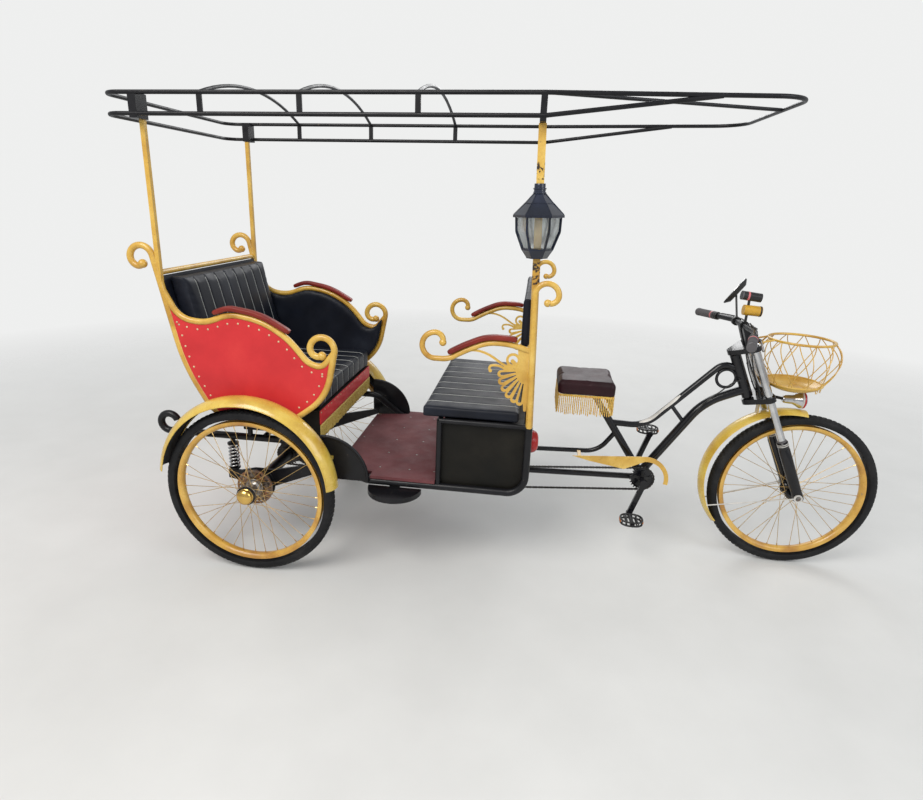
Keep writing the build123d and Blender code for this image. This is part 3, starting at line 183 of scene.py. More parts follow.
class Shape:
    """Collects vertices and faces and becomes one piece. Sizes are in millimetres, places in metres."""

    def __init__(self):
        self.verts = []
        self.faces = []

    def add(self, verts, faces):
        start = len(self.verts)
        self.verts += [Vector(v) for v in verts]
        self.faces += [tuple(start + i for i in face) for face in faces]

    def rings(self, rings, closed_ring=True, closed_path=False, caps=True):
        """Joins equal rings of points into a skin."""
        count = len(rings[0])
        faces = []
        steps = len(rings) if closed_path else len(rings) - 1
        around = count if closed_ring else count - 1
        for i in range(steps):
            j = (i + 1) % len(rings)
            for k in range(around):
                m = (k + 1) % count
                faces.append((i * count + k, i * count + m, j * count + m, j * count + k))
        if caps and not closed_path:
            faces.append(tuple(range(count))[::-1])
            faces.append(tuple((len(rings) - 1) * count + k for k in range(count)))
        self.add([v for ring in rings for v in ring], faces)

    def sleeve(self, start, along, profile, sides=32):
        """A turned sleeve from (distance, radius) points along a direction."""
        normal = along.orthogonal().normalized()
        other = along.cross(normal)
        rings = []
        for distance, radius in profile:
            legs = [arc(radius, 360 * k / sides) for k in range(sides)]
            rings.append([start + (along * distance + normal * c + other * s) * MM for c, s in legs])
        self.rings(rings)

    def tube(self, points, radius, sides=8, closed=False):
        """A round tube through points; radius may be one number or one for each point."""
        radii = radius if isinstance(radius, list) else [radius] * len(points)
        tangents = []
        for i in range(len(points)):
            before = points[i - 1] if (i or closed) else points[0]
            after = points[(i + 1) % len(points)] if (closed or i < len(points) - 1) else points[-1]
            tangents.append((after - before).normalized())
        normal = tangents[0].orthogonal().normalized()
        rings = []
        for point, tangent, r in zip(points, tangents, radii):
            normal = (normal - tangent * normal.dot(tangent)).normalized()
            other = tangent.cross(normal)
            legs = [arc(r * MM, 360 * k / sides) for k in range(sides)]
            rings.append([point + normal * c + other * s for c, s in legs])
        self.rings(rings, closed_path=closed)

    def lathe(self, profile, centre, segments=48, axis="Y", closed=False):
        """Turns (radius, height) points about an axis through centre."""
        along, first, second = AXES[axis]
        rings = []
        for i in range(segments):
            c, s = arc(1, 360 * i / segments)
            out = first * c + second * s
            rings.append([centre + (out * r + along * h) * MM for r, h in profile])
        self.rings(rings, closed_ring=closed, closed_path=True)

    def ball(self, centre, radius, rows=6, columns=10, squash=(1, 1, 1)):
        rings = []
        for i in range(rows + 1):
            level, height = arc(radius, 180 * i / rows - 90)
            ring = []
            for k in range(columns):
                x, y = arc(level, 360 * k / columns)
                ring.append(centre + step(x * squash[0], y * squash[1], height * squash[2]))
            rings.append(ring)
        self.rings(rings, caps=False)

    def block(self, low, high):
        """A box between two corners given in metres."""
        verts = [(x, y, z) for x in (low[0], high[0]) for y in (low[1], high[1]) for z in (low[2], high[2])]
        faces = [(0, 1, 3, 2), (4, 6, 7, 5), (0, 4, 5, 1), (2, 3, 7, 6), (0, 2, 6, 4), (1, 5, 7, 3)]
        self.add(verts, faces)

    def plate(self, outline, depth):
        """A flat plate from its outline, thickened across the vehicle."""
        count = len(outline)
        faces = [tuple(range(count))[::-1], tuple(range(count, 2 * count))]
        for i in range(count):
            j = (i + 1) % count
            faces.append((i, j, count + j, count + i))
        self.add(outline + [point + step(0, depth, 0) for point in outline], faces)

    def build(self, name, look, body, angle=40, node=None, slot=None, bevel=0):
        """Makes the piece, smooth below an angle or flat at 0. It may stand for a node, whose part it hides;
        slot is not used.
        """
        mesh = bpy.data.meshes.new(name)
        mesh.from_pydata(self.verts, [], self.faces)
        mesh.validate()
        mesh.materials.append(look)
        obj = new_object(name, mesh)
        work = bmesh.new()
        work.from_mesh(mesh)
        bmesh.ops.remove_doubles(work, verts=work.verts, dist=1e-6)
        bmesh.ops.recalc_face_normals(work, faces=work.faces)
        work.to_mesh(mesh)
        work.free()
        if angle:
            smooth_by_angle(obj, angle)
        if bevel:
            modifier = obj.modifiers.new("edges", "BEVEL")
            modifier.width = bevel * MM
            modifier.segments = 2
            modifier.limit_method = "ANGLE"
        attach(obj, body)
        if node:
            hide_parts(node)
        return obj


# Materials


def set_inputs(node, values):
    for socket, value in values.items():
        node.inputs[socket].default_value = value


class Paint:
    """A node material with helpers for mottled colour, roughness and bump."""

    def __init__(self, name, roughness=0.5, metallic=0.0, coat=0.0, specular=0.5):
        self.material = bpy.data.materials.new(name)
        self.material.use_nodes = True
        self.nodes = self.material.node_tree.nodes
        self.links = self.material.node_tree.links
        self.shader = self.nodes["Principled BSDF"]
        set_inputs(self.shader, {
            "Roughness": roughness, "Metallic": metallic, "Coat Weight": coat, "Coat Roughness": 0.12,
            "Specular IOR Level": specular,
        })
        self.coordinates = self.nodes.new("ShaderNodeTexCoord").outputs["Object"]
        self.height = None

    def feed(self, socket, output):
        self.links.new(output, self.shader.inputs[socket])

    def texture(self, kind, values):
        node = self.nodes.new("ShaderNodeTex" + kind)
        set_inputs(node, values)
        self.links.new(self.coordinates, node.inputs["Vector"])
        return node

    def noise(self, scale, detail=4.0, roughness=0.55, distortion=0.0):
        values = {"Scale": scale, "Detail": detail, "Roughness": roughness, "Distortion": distortion}
        return self.texture("Noise", values).outputs["Fac"]

    def ramp(self, value, stops):
        ramp = self.nodes.new("ShaderNodeValToRGB")
        elements = ramp.color_ramp.elements
        while len(elements) < len(stops):
            elements.new(0.5)
        for element, (place, colour) in zip(elements, stops):
            element.position = place
            element.color = (*colour, 1)
        self.links.new(value, ramp.inputs["Fac"])
        return ramp.outputs["Color"]

    def band(self, value, low, high, first=0.0, last=1.0):
        """Maps a value from low..high to first..last."""
        node = self.nodes.new("ShaderNodeMapRange")
        set_inputs(node, {"From Min": low, "From Max": high, "To Min": first, "To Max": last})
        self.links.new(value, node.inputs["Value"])
        return node.outputs["Result"]

    def mix(self, factor, first, second):
        node = self.nodes.new("ShaderNodeMix")
        node.data_type = "RGBA"
        self.links.new(factor, node.inputs["Factor"])
        self.links.new(first, node.inputs["A"])
        if isinstance(second, tuple):
            node.inputs["B"].default_value = (*second, 1)
        else:
            self.links.new(second, node.inputs["B"])
        return node.outputs["Result"]

    def bump(self, output, strength, distance):
        """Adds a bump, with its distance in millimetres, over those before it."""
        node = self.nodes.new("ShaderNodeBump")
        set_inputs(node, {"Strength": strength, "Distance": distance * MM})
        self.links.new(output, node.inputs["Height"])
        if self.height is not None:
            self.links.new(self.height, node.inputs["Normal"])
        self.height = node.outputs["Normal"]
        self.feed("Normal", self.height)

    def finish(self, tone, rough_scale, rough):
        """Sets the colour and a roughness that varies between two values."""
        self.feed("Base Color", tone)
        self.feed("Roughness", self.band(self.noise(rough_scale), 0.3, 0.7, *rough))


def enamel(name, base, shade, light, rough, chip=None, chip_amount=0.0, coat=0.3):
    """Brushed or sprayed enamel on steel, mottled, with a little orange peel and dust."""
    paint = Paint(name, coat=coat, specular=0.5 if max(base) > 0.1 else 0.25)
    tone = paint.ramp(paint.noise(9, 5), [(0.3, shade), (0.52, base), (0.75, light)])
    tone = paint.mix(paint.band(paint.noise(160, 3), 0.35, 0.75, 0.0, 0.25), tone, shade)
    if chip:
        spots = paint.noise(55, 6, 0.7)
        tone = paint.mix(paint.band(spots, 0.66 - chip_amount, 0.70 - chip_amount), tone, chip)
    paint.finish(tone, 24, rough)
    paint.bump(paint.noise(420, 2), 0.12, 0.6)
    return paint.material


def leather(name, base, shade, light, grain, rough, specular):
    """Grained upholstery leather with soft creases."""
    paint = Paint(name, specular=specular)
    tone = paint.ramp(paint.noise(7, 5), [(0.3, shade), (0.55, base), (0.8, light)])
    pores = paint.texture("Voronoi", {"Scale": grain}).outputs["Distance"]
    tone = paint.mix(paint.band(pores, 0.0, 0.5, 0.35, 0.0), tone, shade)
    paint.finish(tone, 15, rough)
    paint.bump(pores, 0.35, 0.4)
    paint.bump(paint.noise(38, 5, 0.6, distortion=0.6), 0.35, 1.2)
    return paint.material


def metal(name, base, shade, rough, rust=None, rust_edge=0.62):
    """Bare or plated metal, dulled in patches."""
    paint = Paint(name, metallic=1.0)
    tone = paint.ramp(paint.noise(14, 5), [(0.3, shade), (0.65, base)])
    if rust:
        mask = paint.band(paint.noise(34, 8, 0.72), rust_edge - 0.08, rust_edge + 0.04)
        dark_rust = tuple(c * 0.45 for c in rust)
        tone = paint.mix(mask, tone, paint.ramp(paint.noise(90, 6), [(0.3, dark_rust), (0.7, rust)]))
        paint.feed("Metallic", paint.band(mask, 0, 1, 1.0, 0.0))
        paint.bump(mask, 0.3, 0.4)
    paint.feed("Base Color", tone)
    paint.feed("Roughness", paint.band(paint.noise(30, 5), 0.3, 0.7, *rough))
    paint.bump(paint.noise(500, 2), 0.08, 0.3)
    return paint.material


def plastic(name, base, rough):
    """Moulded plastic or rubber with a fine grain."""
    paint = Paint(name)
    dark = tuple(c * 0.7 for c in base)
    light = tuple(min(1, c * 1.25 + 0.004) for c in base)
    tone = paint.ramp(paint.noise(18, 5), [(0.3, dark), (0.55, base), (0.8, light)])
    paint.finish(tone, 40, (rough - 0.08, rough + 0.1))
    paint.bump(paint.noise(700, 2), 0.18, 0.3)
    return paint.material


def tyre_rubber():
    paint = Paint("tyre_rubber", specular=0.22)
    tone = paint.ramp(paint.noise(12, 6), [
        (0.3, (0.006, 0.006, 0.007)), (0.55, (0.012, 0.012, 0.013)), (0.8, (0.024, 0.023, 0.022)),
    ])
    dust = paint.band(paint.noise(5, 6, 0.7), 0.56, 0.80, 0.0, 0.18)
    paint.finish(paint.mix(dust, tone, (0.10, 0.09, 0.08)), 60, (0.5, 0.75))
    paint.bump(paint.noise(600, 3), 0.25, 0.4)
    return paint.material


def glass(name, tint, rough):
    paint = Paint(name, roughness=rough)
    set_inputs(paint.shader, {"Transmission Weight": 0.9, "IOR": 1.45})
    dark = tuple(c * 0.85 for c in tint)
    paint.feed("Base Color", paint.ramp(paint.noise(20, 3), [(0.3, dark), (0.7, tint)]))
    paint.bump(paint.noise(60, 2), 0.1, 0.4)
    return paint.material


def thread(name, base, shade, light):
    """Twisted gold thread, with painted shade darkening the grooves of the twist."""
    paint = Paint(name, specular=0.3)
    tone = paint.ramp(paint.noise(150, 3), [(0.32, shade), (0.5, base), (0.72, light)])
    wave = paint.texture("Wave", {"Scale": 260, "Distortion": 1.2})
    wave.bands_direction = "DIAGONAL"
    twist_relief_and_shade = wave.outputs["Fac"]
    # Painted shade: the wave bands darken the thread towards its shade tone in the grooves of the twist.
    tone = paint.mix(paint.band(twist_relief_and_shade, 0.0, 1.0, 0.4, 0.0), tone, shade)
    paint.finish(tone, 80, (0.55, 0.8))
    paint.bump(twist_relief_and_shade, 0.5, 0.6)
    set_inputs(paint.shader, {"Sheen Weight": 0.3})
    return paint.material


GOLD_TONES = (0.64, 0.385, 0.062), (0.42, 0.21, 0.025), (0.80, 0.56, 0.14)
gold = enamel("gold_enamel", *GOLD_TONES, rough=(0.22, 0.42), chip=(0.30, 0.16, 0.05))
worn_gold = enamel(
    "worn_gold_enamel", *GOLD_TONES, rough=(0.3, 0.5), chip=(0.03, 0.018, 0.012), chip_amount=0.16, coat=0.1,
)
gold_fender = enamel(
    "gold_fender_enamel", (0.68, 0.47, 0.075), (0.50, 0.29, 0.04), (0.80, 0.62, 0.15),
    rough=(0.16, 0.34), coat=0.6,
)
gold_rim = enamel(
    "gold_rim_enamel", (0.60, 0.34, 0.055), (0.38, 0.17, 0.03), (0.76, 0.50, 0.12),
    chip=(0.30, 0.20, 0.10), chip_amount=0.02, rough=(0.22, 0.4),
)
black = enamel(
    "black_enamel", (0.007, 0.007, 0.009), (0.004, 0.004, 0.005), (0.016, 0.016, 0.018),
    chip=(0.09, 0.07, 0.05), rough=(0.28, 0.5), coat=0.12,
)
black_gloss = enamel(
    "black_gloss_enamel", (0.006, 0.006, 0.008), (0.003, 0.003, 0.004), (0.014, 0.014, 0.016),
    rough=(0.14, 0.3), coat=0.35,
)
lantern_blue = enamel(
    "lantern_blue_black", (0.012, 0.016, 0.030), (0.006, 0.008, 0.014), (0.024, 0.030, 0.055),
    rough=(0.10, 0.24), coat=0.5,
)
red_leather = leather(
    "red_leatherette", (0.60, 0.026, 0.030), (0.52, 0.020, 0.024), (0.66, 0.040, 0.038),
    grain=420, rough=(0.40, 0.55), specular=0.4,
)
blue_leather = leather(
    "blue_black_leather", (0.009, 0.011, 0.018), (0.005, 0.006, 0.010), (0.020, 0.024, 0.034),
    grain=520, rough=(0.34, 0.5), specular=0.22,
)
arm_leather = leather(
    "brown_red_leather", (0.22, 0.022, 0.014), (0.13, 0.012, 0.009), (0.30, 0.040, 0.026),
    grain=480, rough=(0.3, 0.45), specular=0.3,
)
saddle_leather = leather(
    "saddle_leather", (0.030, 0.008, 0.011), (0.016, 0.005, 0.007), (0.055, 0.014, 0.018),
    grain=480, rough=(0.34, 0.5), specular=0.22,
)
box_board = leather(
    "box_board", (0.009, 0.008, 0.006), (0.005, 0.005, 0.004), (0.016, 0.014, 0.010),
    grain=500, rough=(0.45, 0.65), specular=0.2,
)
floor_board = leather(
    "floor_board_covering", (0.135, 0.040, 0.044), (0.095, 0.028, 0.031), (0.18, 0.060, 0.062),
    grain=350, rough=(0.5, 0.75), specular=0.3,
)
rubber = plastic("grey_rubber", (0.10, 0.095, 0.10), 0.6)
black_plastic = plastic("black_plastic", (0.012, 0.012, 0.012), 0.38)
yellow_plastic = plastic("yellow_plastic", (0.62, 0.34, 0.03), 0.3)
red_plastic = plastic("red_plastic", (0.45, 0.012, 0.012), 0.15)
amber_plastic = plastic("amber_plastic", (0.62, 0.17, 0.012), 0.2)
pink_plastic = plastic("pink_ring", (0.62, 0.16, 0.17), 0.35)
cream = plastic("cream_tack", (0.62, 0.50, 0.30), 0.35)
white = plastic("white_paint", (0.62, 0.60, 0.56), 0.4)
seam_thread = plastic("pale_seam_thread", (0.42, 0.43, 0.41), 0.6)
chrome = metal("chrome_plate", (0.72, 0.72, 0.72), (0.48, 0.48, 0.49), (0.08, 0.2), (0.16, 0.07, 0.03), 0.72)
steel = metal("worn_steel", (0.33, 0.31, 0.29), (0.16, 0.15, 0.14), (0.25, 0.5), (0.17, 0.075, 0.035), 0.62)
rusty_disc = metal(
    "rusty_disc", (0.30, 0.26, 0.22), (0.15, 0.12, 0.10), (0.3, 0.55), (0.28, 0.115, 0.04), 0.52,
)
brass = metal("brass_wire", (0.72, 0.50, 0.22), (0.46, 0.30, 0.11), (0.2, 0.4), (0.18, 0.09, 0.04), 0.68)
gold_polish = metal("polished_gold", (0.80, 0.52, 0.15), (0.55, 0.34, 0.09), (0.08, 0.25))
silver = metal("mirror_silver", (0.86, 0.88, 0.90), (0.74, 0.76, 0.78), (0.02, 0.05))
chain_steel = metal(
    "oiled_chain", (0.075, 0.07, 0.068), (0.03, 0.028, 0.026), (0.3, 0.5), (0.06, 0.035, 0.02), 0.66,
)
fringe_thread = thread("gold_thread", (0.70, 0.52, 0.12), (0.46, 0.28, 0.04), (0.84, 0.70, 0.28))
orange_thread = thread("orange_thread", (0.76, 0.50, 0.08), (0.60, 0.26, 0.03), (0.86, 0.68, 0.20))
rubber_tyre = tyre_rubber()
lantern_glass = glass("lantern_glass", (0.92, 0.94, 0.93), 0.04)
lens_glass = glass("lens_glass", (0.85, 0.86, 0.86), 0.05)

NODE_LOOKS = (
    (black, "chassis_frame rear_axle wheel_shields step_plates roof_frame handlebar"),
    (black_gloss, "cycle_frame fork_crowns fork_lowers crankset"),
    (gold, "seat_rails bench_rails bench_brackets chain_guard basket"),
    (gold_fender, "rear_fenders front_fender"),
    (gold_rim, "front_wheel rear_wheel_right rear_wheel_left"),
    (rubber_tyre, "front_tyre rear_tyre_right rear_tyre_left"),
    (red_leather, "seat_panels seat_valance"),
    (box_board, "seat_base bench_box"),
    (floor_board, "floor_board"),
    (blue_leather, "seat_side_pads seat_back_cushion seat_cushion bench_cushion"),
    (arm_leather, "bench_back_pad arm_pads"),
    (saddle_leather, "saddle"),
    (fringe_thread, "saddle_fringe seat_fringe"),
    (lantern_blue, "lanterns"),
    (lantern_glass, "lantern_glass"),
    (lens_glass, "headlight_lens"),
    (chrome, "shock_absorbers fork_stanchions headlight"),
    (steel, "saddle_post"),
    (chain_steel, "relay_sprockets axle_sprocket chains"),
    (rubber, "grips"),
    (red_plastic, "box_lamp"),
    (yellow_plastic, "handlebar_lamps"),
    (black_plastic, "brake_levers mirror pedal_right pedal_left"),
)
for look, nodes in NODE_LOOKS:
    for node in nodes.split():
        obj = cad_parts[node]
        obj.data.materials.clear()
        obj.data.materials.append(look)
        smooth_by_angle(obj, 35)

# Nodes with a second material: the lined side panels, the fenders, with painted shade under the rear ones,
# and handlebar lamps

PANEL_INNER = 383 * MM
REAR_FENDER_EYE = (-5, 368)
FRONT_FENDER_EYE = (2096, 374)
FRONT_FENDER_LINING = 296 * MM
LAMP_YELLOW_LOW = 1050 * MM
LAMP_YELLOW_HIGH = 1097.5 * MM


def second_look(node, look, inside):
    """Gives the faces of a node that inside(place, normal) picks a second material."""
    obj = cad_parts[node]
    obj.data.materials.append(look)
    turn = obj.matrix_world.to_3x3()
    for face in obj.data.polygons:
        if inside(obj.matrix_world @ face.center, (turn @ face.normal).normalized()):
            face.material_index = 1


def towards_eye(place, eye):
    """From a place to a fender's middle axis."""
    return at(eye[0], 0, eye[1]) - Vector((place.x, 0, place.z))


def lining(place, normal):
    if abs(place.y) < PANEL_INNER:
        return normal.x > 0.1 or abs(normal.y) > 0.9 or normal.z > 0.5
    return normal.y * place.y < -0.5


def painted_shade_under_rear_fender(place, normal):
    return normal.dot(towards_eye(place, REAR_FENDER_EYE).normalized()) > 0.25


def under_front_fender(place, normal):
    return towards_eye(place, FRONT_FENDER_EYE).length < FRONT_FENDER_LINING


def lamp_housing(place, normal):
    return not LAMP_YELLOW_LOW < place.z < LAMP_YELLOW_HIGH


second_look("seat_panels", blue_leather, lining)
# Painted shade: the rear fenders' undersides get black enamel to stand for the shade under them.
second_look("rear_fenders", black, painted_shade_under_rear_fender)
second_look("front_fender", white, under_front_fender)
second_look("handlebar_lamps", black_plastic, lamp_housing)

# Tyres, with a groove pattern cut into the crown

TYRE_STEPS = 600
TREAD_DEPTH = 2.2 * MM
TREAD_BAND = 11 * MM
TYRE_HEIGHT = 24 * MM
TYRE_LIP = 286.3 * MM
SECTION_STEPS = 36
SECTION_SWEEP = 236


def grooved(across, number):
    """True where a step of the tyre's round has a groove, by its share of the half width."""
    lane = 3 if across > 0.62 else 0
    return (number + lane + int(across * 5)) % 6 < 2 or 0.56 < across < 0.66 or 0.16 < across < 0.24


def tyre_piece(node, body):
    centre = middle(node)
    half = (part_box(node)[1].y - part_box(node)[0].y) / 2
    section = []
    for i in range(SECTION_STEPS + 1):
        reach, sideways = arc(1, SECTION_SWEEP * (i / SECTION_STEPS - 0.5))
        section.append((max(wheel_radius - TYRE_HEIGHT * (1 - reach), TYRE_LIP), half * sideways))
    rings = []
    for number in range(TYRE_STEPS):
        ring = []
        for r, y in section:
            cut = r > wheel_radius - TREAD_BAND and grooved(abs(y) / half, number)
            x, z = arc(r - TREAD_DEPTH if cut else r, 360 * number / TYRE_STEPS)
            ring.append(centre + Vector((x, y, z)))
        rings.append(ring)
    shape = Shape()
    shape.rings(rings, closed_path=True)
    shape.build(node + "_tread", rubber_tyre, body, angle=28, node=node, slot="tyre_rubber")


tyre_piece("front_tyre", "front_wheel_set")
tyre_piece("rear_tyre_right", "rear_wheel_right_set")
tyre_piece("rear_tyre_left", "rear_wheel_left_set")

# Wheels

SPOKES = 36
SPOKE_CROSS = 62
SPOKE_HOLES = 0.86
RIM_OUTER = 289
RIM_INNER = 269
RIM_HALF = 17


def mirrored(profile):
    """A profile followed by its mirror image."""
    return profile + [(r, -h) for r, h in reversed(profile) if h]


def wheel_pieces(node, body, flange_y, hub_radius, flange_radius):
    centre = middle(node.replace("wheel", "tyre"))
    outer, inner, half = RIM_OUTER, RIM_INNER, RIM_HALF
    rim = Shape()
    rim.lathe(mirrored([
        (outer - 14, 0), (outer - 12, half - 4), (outer, half - 2.5), (outer, half), (outer - 9, half),
        (outer - 13, half - 1.5), (inner + 2, half * 0.6), (inner, half * 0.35),
    ]), centre, 160, closed=True)
    rim.build(node + "_rim", gold_rim, body, angle=30, node=node, slot="gold_paint")

    wires = Shape()
    nipples = Shape()
    for number in range(SPOKES):
        side = 1 if number % 2 else -1
        lean = 1 if number % 4 < 2 else -1
        rim_angle = number * 360 / SPOKES
        x, z = arc(flange_radius * SPOKE_HOLES, rim_angle + lean * SPOKE_CROSS)
        hub_end = centre + step(x, side * flange_y, z)
        x, z = arc(RIM_INNER + 1, rim_angle)
        rim_end = centre + step(x, side * 4, z)
        wires.tube([hub_end - step(0, side * 5, 0), hub_end + step(0, side * 2, 0), rim_end], 1.15, 6)
        nipples.tube([rim_end, rim_end + (hub_end - rim_end).normalized() * 11 * MM], 2.1, 6)
    wires.build(node + "_spokes", brass, body)
    nipples.build(node + "_nipples", brass, body)

    hub = Shape()
    r, f, y = hub_radius, flange_radius, flange_y
    hub.lathe(mirrored([
        (r * 0.72, 0), (r * 0.8, y - 9), (r * 1.1, y - 3), (f * 0.97, y - 2.2), (f, y - 1), (f, y + 1),
        (f * 0.97, y + 2.6), (r * 0.8, y + 3), (r * 0.75, y + 6), (10.2, y + 6),
    ]), centre, closed=True)
    hub.build(node + "_hub", steel if node != "front_wheel" else black_gloss, body, angle=30)
    return centre


DISC_RINGS = ((22, 34), (34, 44), (44, 54), (54, 64), (64, 72))
DISC_CELLS = 48
PIERCED_RINGS = (1, 3)
DISC_FACE = 37
DRUM = [(0.5, 43), (58, 43), (64, 47), (64, 59), (58, 61), (0.5, 61)]
HUB_CAP = [
    (30, 30), (30, 44), (27, 46), (27, 50), (31, 52), (31, 54), (29, 59), (24, 64), (16, 68), (8, 69.6),
    (0.3, 70),
]
HUB_COLLAR = [(31.3, 38), (36, 39), (37, 43), (31.3, 45)]

wheel_pieces("front_wheel", "front_wheel_set", flange_y=27, hub_radius=19, flange_radius=32)
for side_name, side in SIDES:
    node = f"rear_wheel_{side_name}"
    body = f"rear_wheel_{side_name}_set"
    centre = wheel_pieces(node, body, flange_y=31, hub_radius=24, flange_radius=36)
    disc = Shape()
    for ring, (r0, r1) in enumerate(DISC_RINGS):
        for k in range(DISC_CELLS):
            if ring in PIERCED_RINGS and k % 2 == 0:
                continue
            corners = []
            for radius, edge in ((r0, k), (r1, k), (r1, k + 1), (r0, k + 1)):
                x, z = arc(radius, 360 * edge / DISC_CELLS)
                corners.append(centre + step(x, -side * DISC_FACE, z))
            disc.plate(corners, -side * 3)
    disc.build(node + "_brake_disc", rusty_disc, body, angle=0)
    for part, profile, way, segments, closed, look in (
        ("drum", DRUM, -side, 64, False, steel), ("hub_cap", HUB_CAP, side, 48, False, gold_polish),
        ("hub_collar", HUB_COLLAR, side, 48, True, black_gloss),
    ):
        shape = Shape()
        shape.lathe([(r, way * h) for r, h in profile], centre, segments, closed=closed)
        shape.build(f"{node}_{part}", look, body, angle=30)

# Rear springs over their dampers

COIL_TURNS = 7
COIL_STEPS = 20 * COIL_TURNS
COIL_RISE = 104
DAMPER = [
    (0.3, -15), (8, -15), (8, -5), (21, -5), (22, -3), (22, 2), (12, 3), (12, 60), (6, 62), (6, 101),
    (22, 101), (22, 107), (9, 109), (9, 121), (0.3, 121),
]
for side_name, side in SIDES:
    foot = at(-126, side * 330, 369)
    coil = []
    for i in range(COIL_STEPS + 1):
        share = i / COIL_STEPS
        coil.append(ring_place(foot, 18, 360 * COIL_TURNS * share) + step(0, 0, COIL_RISE * share))
    spring = Shape()
    spring.tube(coil, 3.9, 10)
    piece = spring.build(f"rear_spring_{side_name}", chrome, "chassis")
    damper = Shape()
    damper.lathe(DAMPER, foot, 32, axis="Z")
    damper.build(f"rear_damper_{side_name}", black, "chassis", angle=30)
    if side < 0:
        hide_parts("shock_absorbers")

# Padded pieces, swollen by a cloth simulation

CLOTH_FRAMES = 20
CLOTH_SETTINGS = {
    "quality": 4, "mass": 0.3, "tension_stiffness": 12, "compression_stiffness": 12, "shear_stiffness": 6,
    "bending_stiffness": 2, "use_pressure": True, "uniform_pressure_force": 4,
}
PAD_MARGIN = 0.3 * MM
waiting = []


def settle(obj):
    """Applies an object's modifiers."""
    depsgraph = bpy.context.evaluated_depsgraph_get()
    obj.data = bpy.data.meshes.new_from_object(obj.evaluated_get(depsgraph), depsgraph=depsgraph)
    obj.modifiers.clear()


def pad(node, look, slot, cap, inset, voxel=8, side=None, name=None):
    """Copies a soft node, or one side of it, as an even mesh that waits for the simulation."""
    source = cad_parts[node]
    mesh = source.data.copy()
    mesh.transform(source.matrix_world)
    if side is not None:
        work = bmesh.new()
        work.from_mesh(mesh)
        gone = [v for v in work.verts if v.co.y * side < 0]
        bmesh.ops.delete(work, geom=gone, context="VERTS")
        work.to_mesh(mesh)
        work.free()
    low = Vector([min(v.co[i] for v in mesh.vertices) for i in range(3)])
    high = Vector([max(v.co[i] for v in mesh.vertices) for i in range(3)])
    centre = (low + high) / 2
    for v in mesh.vertices:
        for i in range(3):
            half = (high[i] - low[i]) / 2
            v.co[i] = centre[i] + (v.co[i] - centre[i]) * (half - inset[i] * MM) / half
    obj = new_object(name or node + "_pad", mesh)
    remesh = obj.modifiers.new("even", "REMESH")
    remesh.mode = "VOXEL"
    remesh.voxel_size = voxel * MM
    settle(obj)
    obj.data.materials.clear()
    obj.data.materials.append(look)
    waiting.append({"object": obj, "node": node, "slot": slot, "cap": cap * MM, "low": low, "high": high})
    return obj


def swell():
    """Runs every waiting pad's cloth together and keeps the result."""
    scene = bpy.context.scene
    for entry in waiting:
        cloth = entry["object"].modifiers.new("cloth", "CLOTH")
        for setting, value in CLOTH_SETTINGS.items():
            setattr(cloth.settings, setting, value)
        cloth.settings.effector_weights.gravity = 0
        cloth.point_cache.frame_start = 1
        cloth.point_cache.frame_end = CLOTH_FRAMES
    for number in range(1, CLOTH_FRAMES + 1):
        scene.frame_set(number)
    for entry in waiting:
        obj = entry["object"]
        before = [v.co.copy() for v in obj.data.vertices]
        settle(obj)
        for start, v in zip(before, obj.data.vertices):
            move = v.co - start
            if move.length > entry["cap"]:
                v.co = start + move.normalized() * entry["cap"]
            for i in range(3):
                v.co[i] = min(max(v.co[i], entry["low"][i] + PAD_MARGIN), entry["high"][i] - PAD_MARGIN)
        refine = obj.modifiers.new("refine", "SUBSURF")
        refine.levels = 1
        refine.render_levels = 1
        settle(obj)
        obj.data.shade_smooth()
    scene.frame_set(1)


SEAM_WIDTH = 5 * MM
SEAM_SPREAD = 16 * MM


def quilt(obj, seams, depth, facing, only=0.35):
    """Presses sewn channels into the faces that look along facing."""
    towards = Vector(facing)
    normals = [v.normal.copy() for v in obj.data.vertices]
    for v, normal in zip(obj.data.vertices, normals):
        share = normal.dot(towards)
        if share < only:
            continue
        near = min(abs(v.co.y - place) for place in seams)
        press = math.exp(-((near / SEAM_WIDTH) ** 2)) + 0.35 * math.exp(-near / SEAM_SPREAD)
        v.co -= towards * press * depth * MM * min(1, (share - only) / (0.9 - only))
    obj.data.update()


WELT_RADIUS = 1.5
WELT_STEP = 6 * MM
WELT_REACH = 0.3


def welts(name, obj, seams, away, start, end):
    """Thin welts sewn along each seam between two (x, z) places, laid on the pad's surface."""
    tree = BVHTree.FromPolygons([v.co for v in obj.data.vertices], [p.vertices for p in obj.data.polygons])
    cords = Shape()
    for y in seams:
        line = [Vector((start[0], y, start[1])), Vector((end[0], y, end[1]))]
        count = max(4, int(path_length(line) / WELT_STEP))
        points = []
        for i in range(count + 1):
            point = along_line(line, i / count)
            hit = tree.ray_cast(point + away * WELT_REACH, -away, WELT_REACH * 2)[0]
            if hit is not None and (not points or (hit - points[-1]).length < 5 * WELT_STEP):
                points.append(hit + away * 0.25 * WELT_RADIUS * MM)
        if len(points) > 3:
            cords.tube(points, WELT_RADIUS, 6)
    cords.build(name, seam_thread, "chassis")


def even_places(half_width, count):
    """The inner dividing places of a width, in metres."""
    return [(2 * i / count - 1) * half_width * MM for i in range(1, count)]


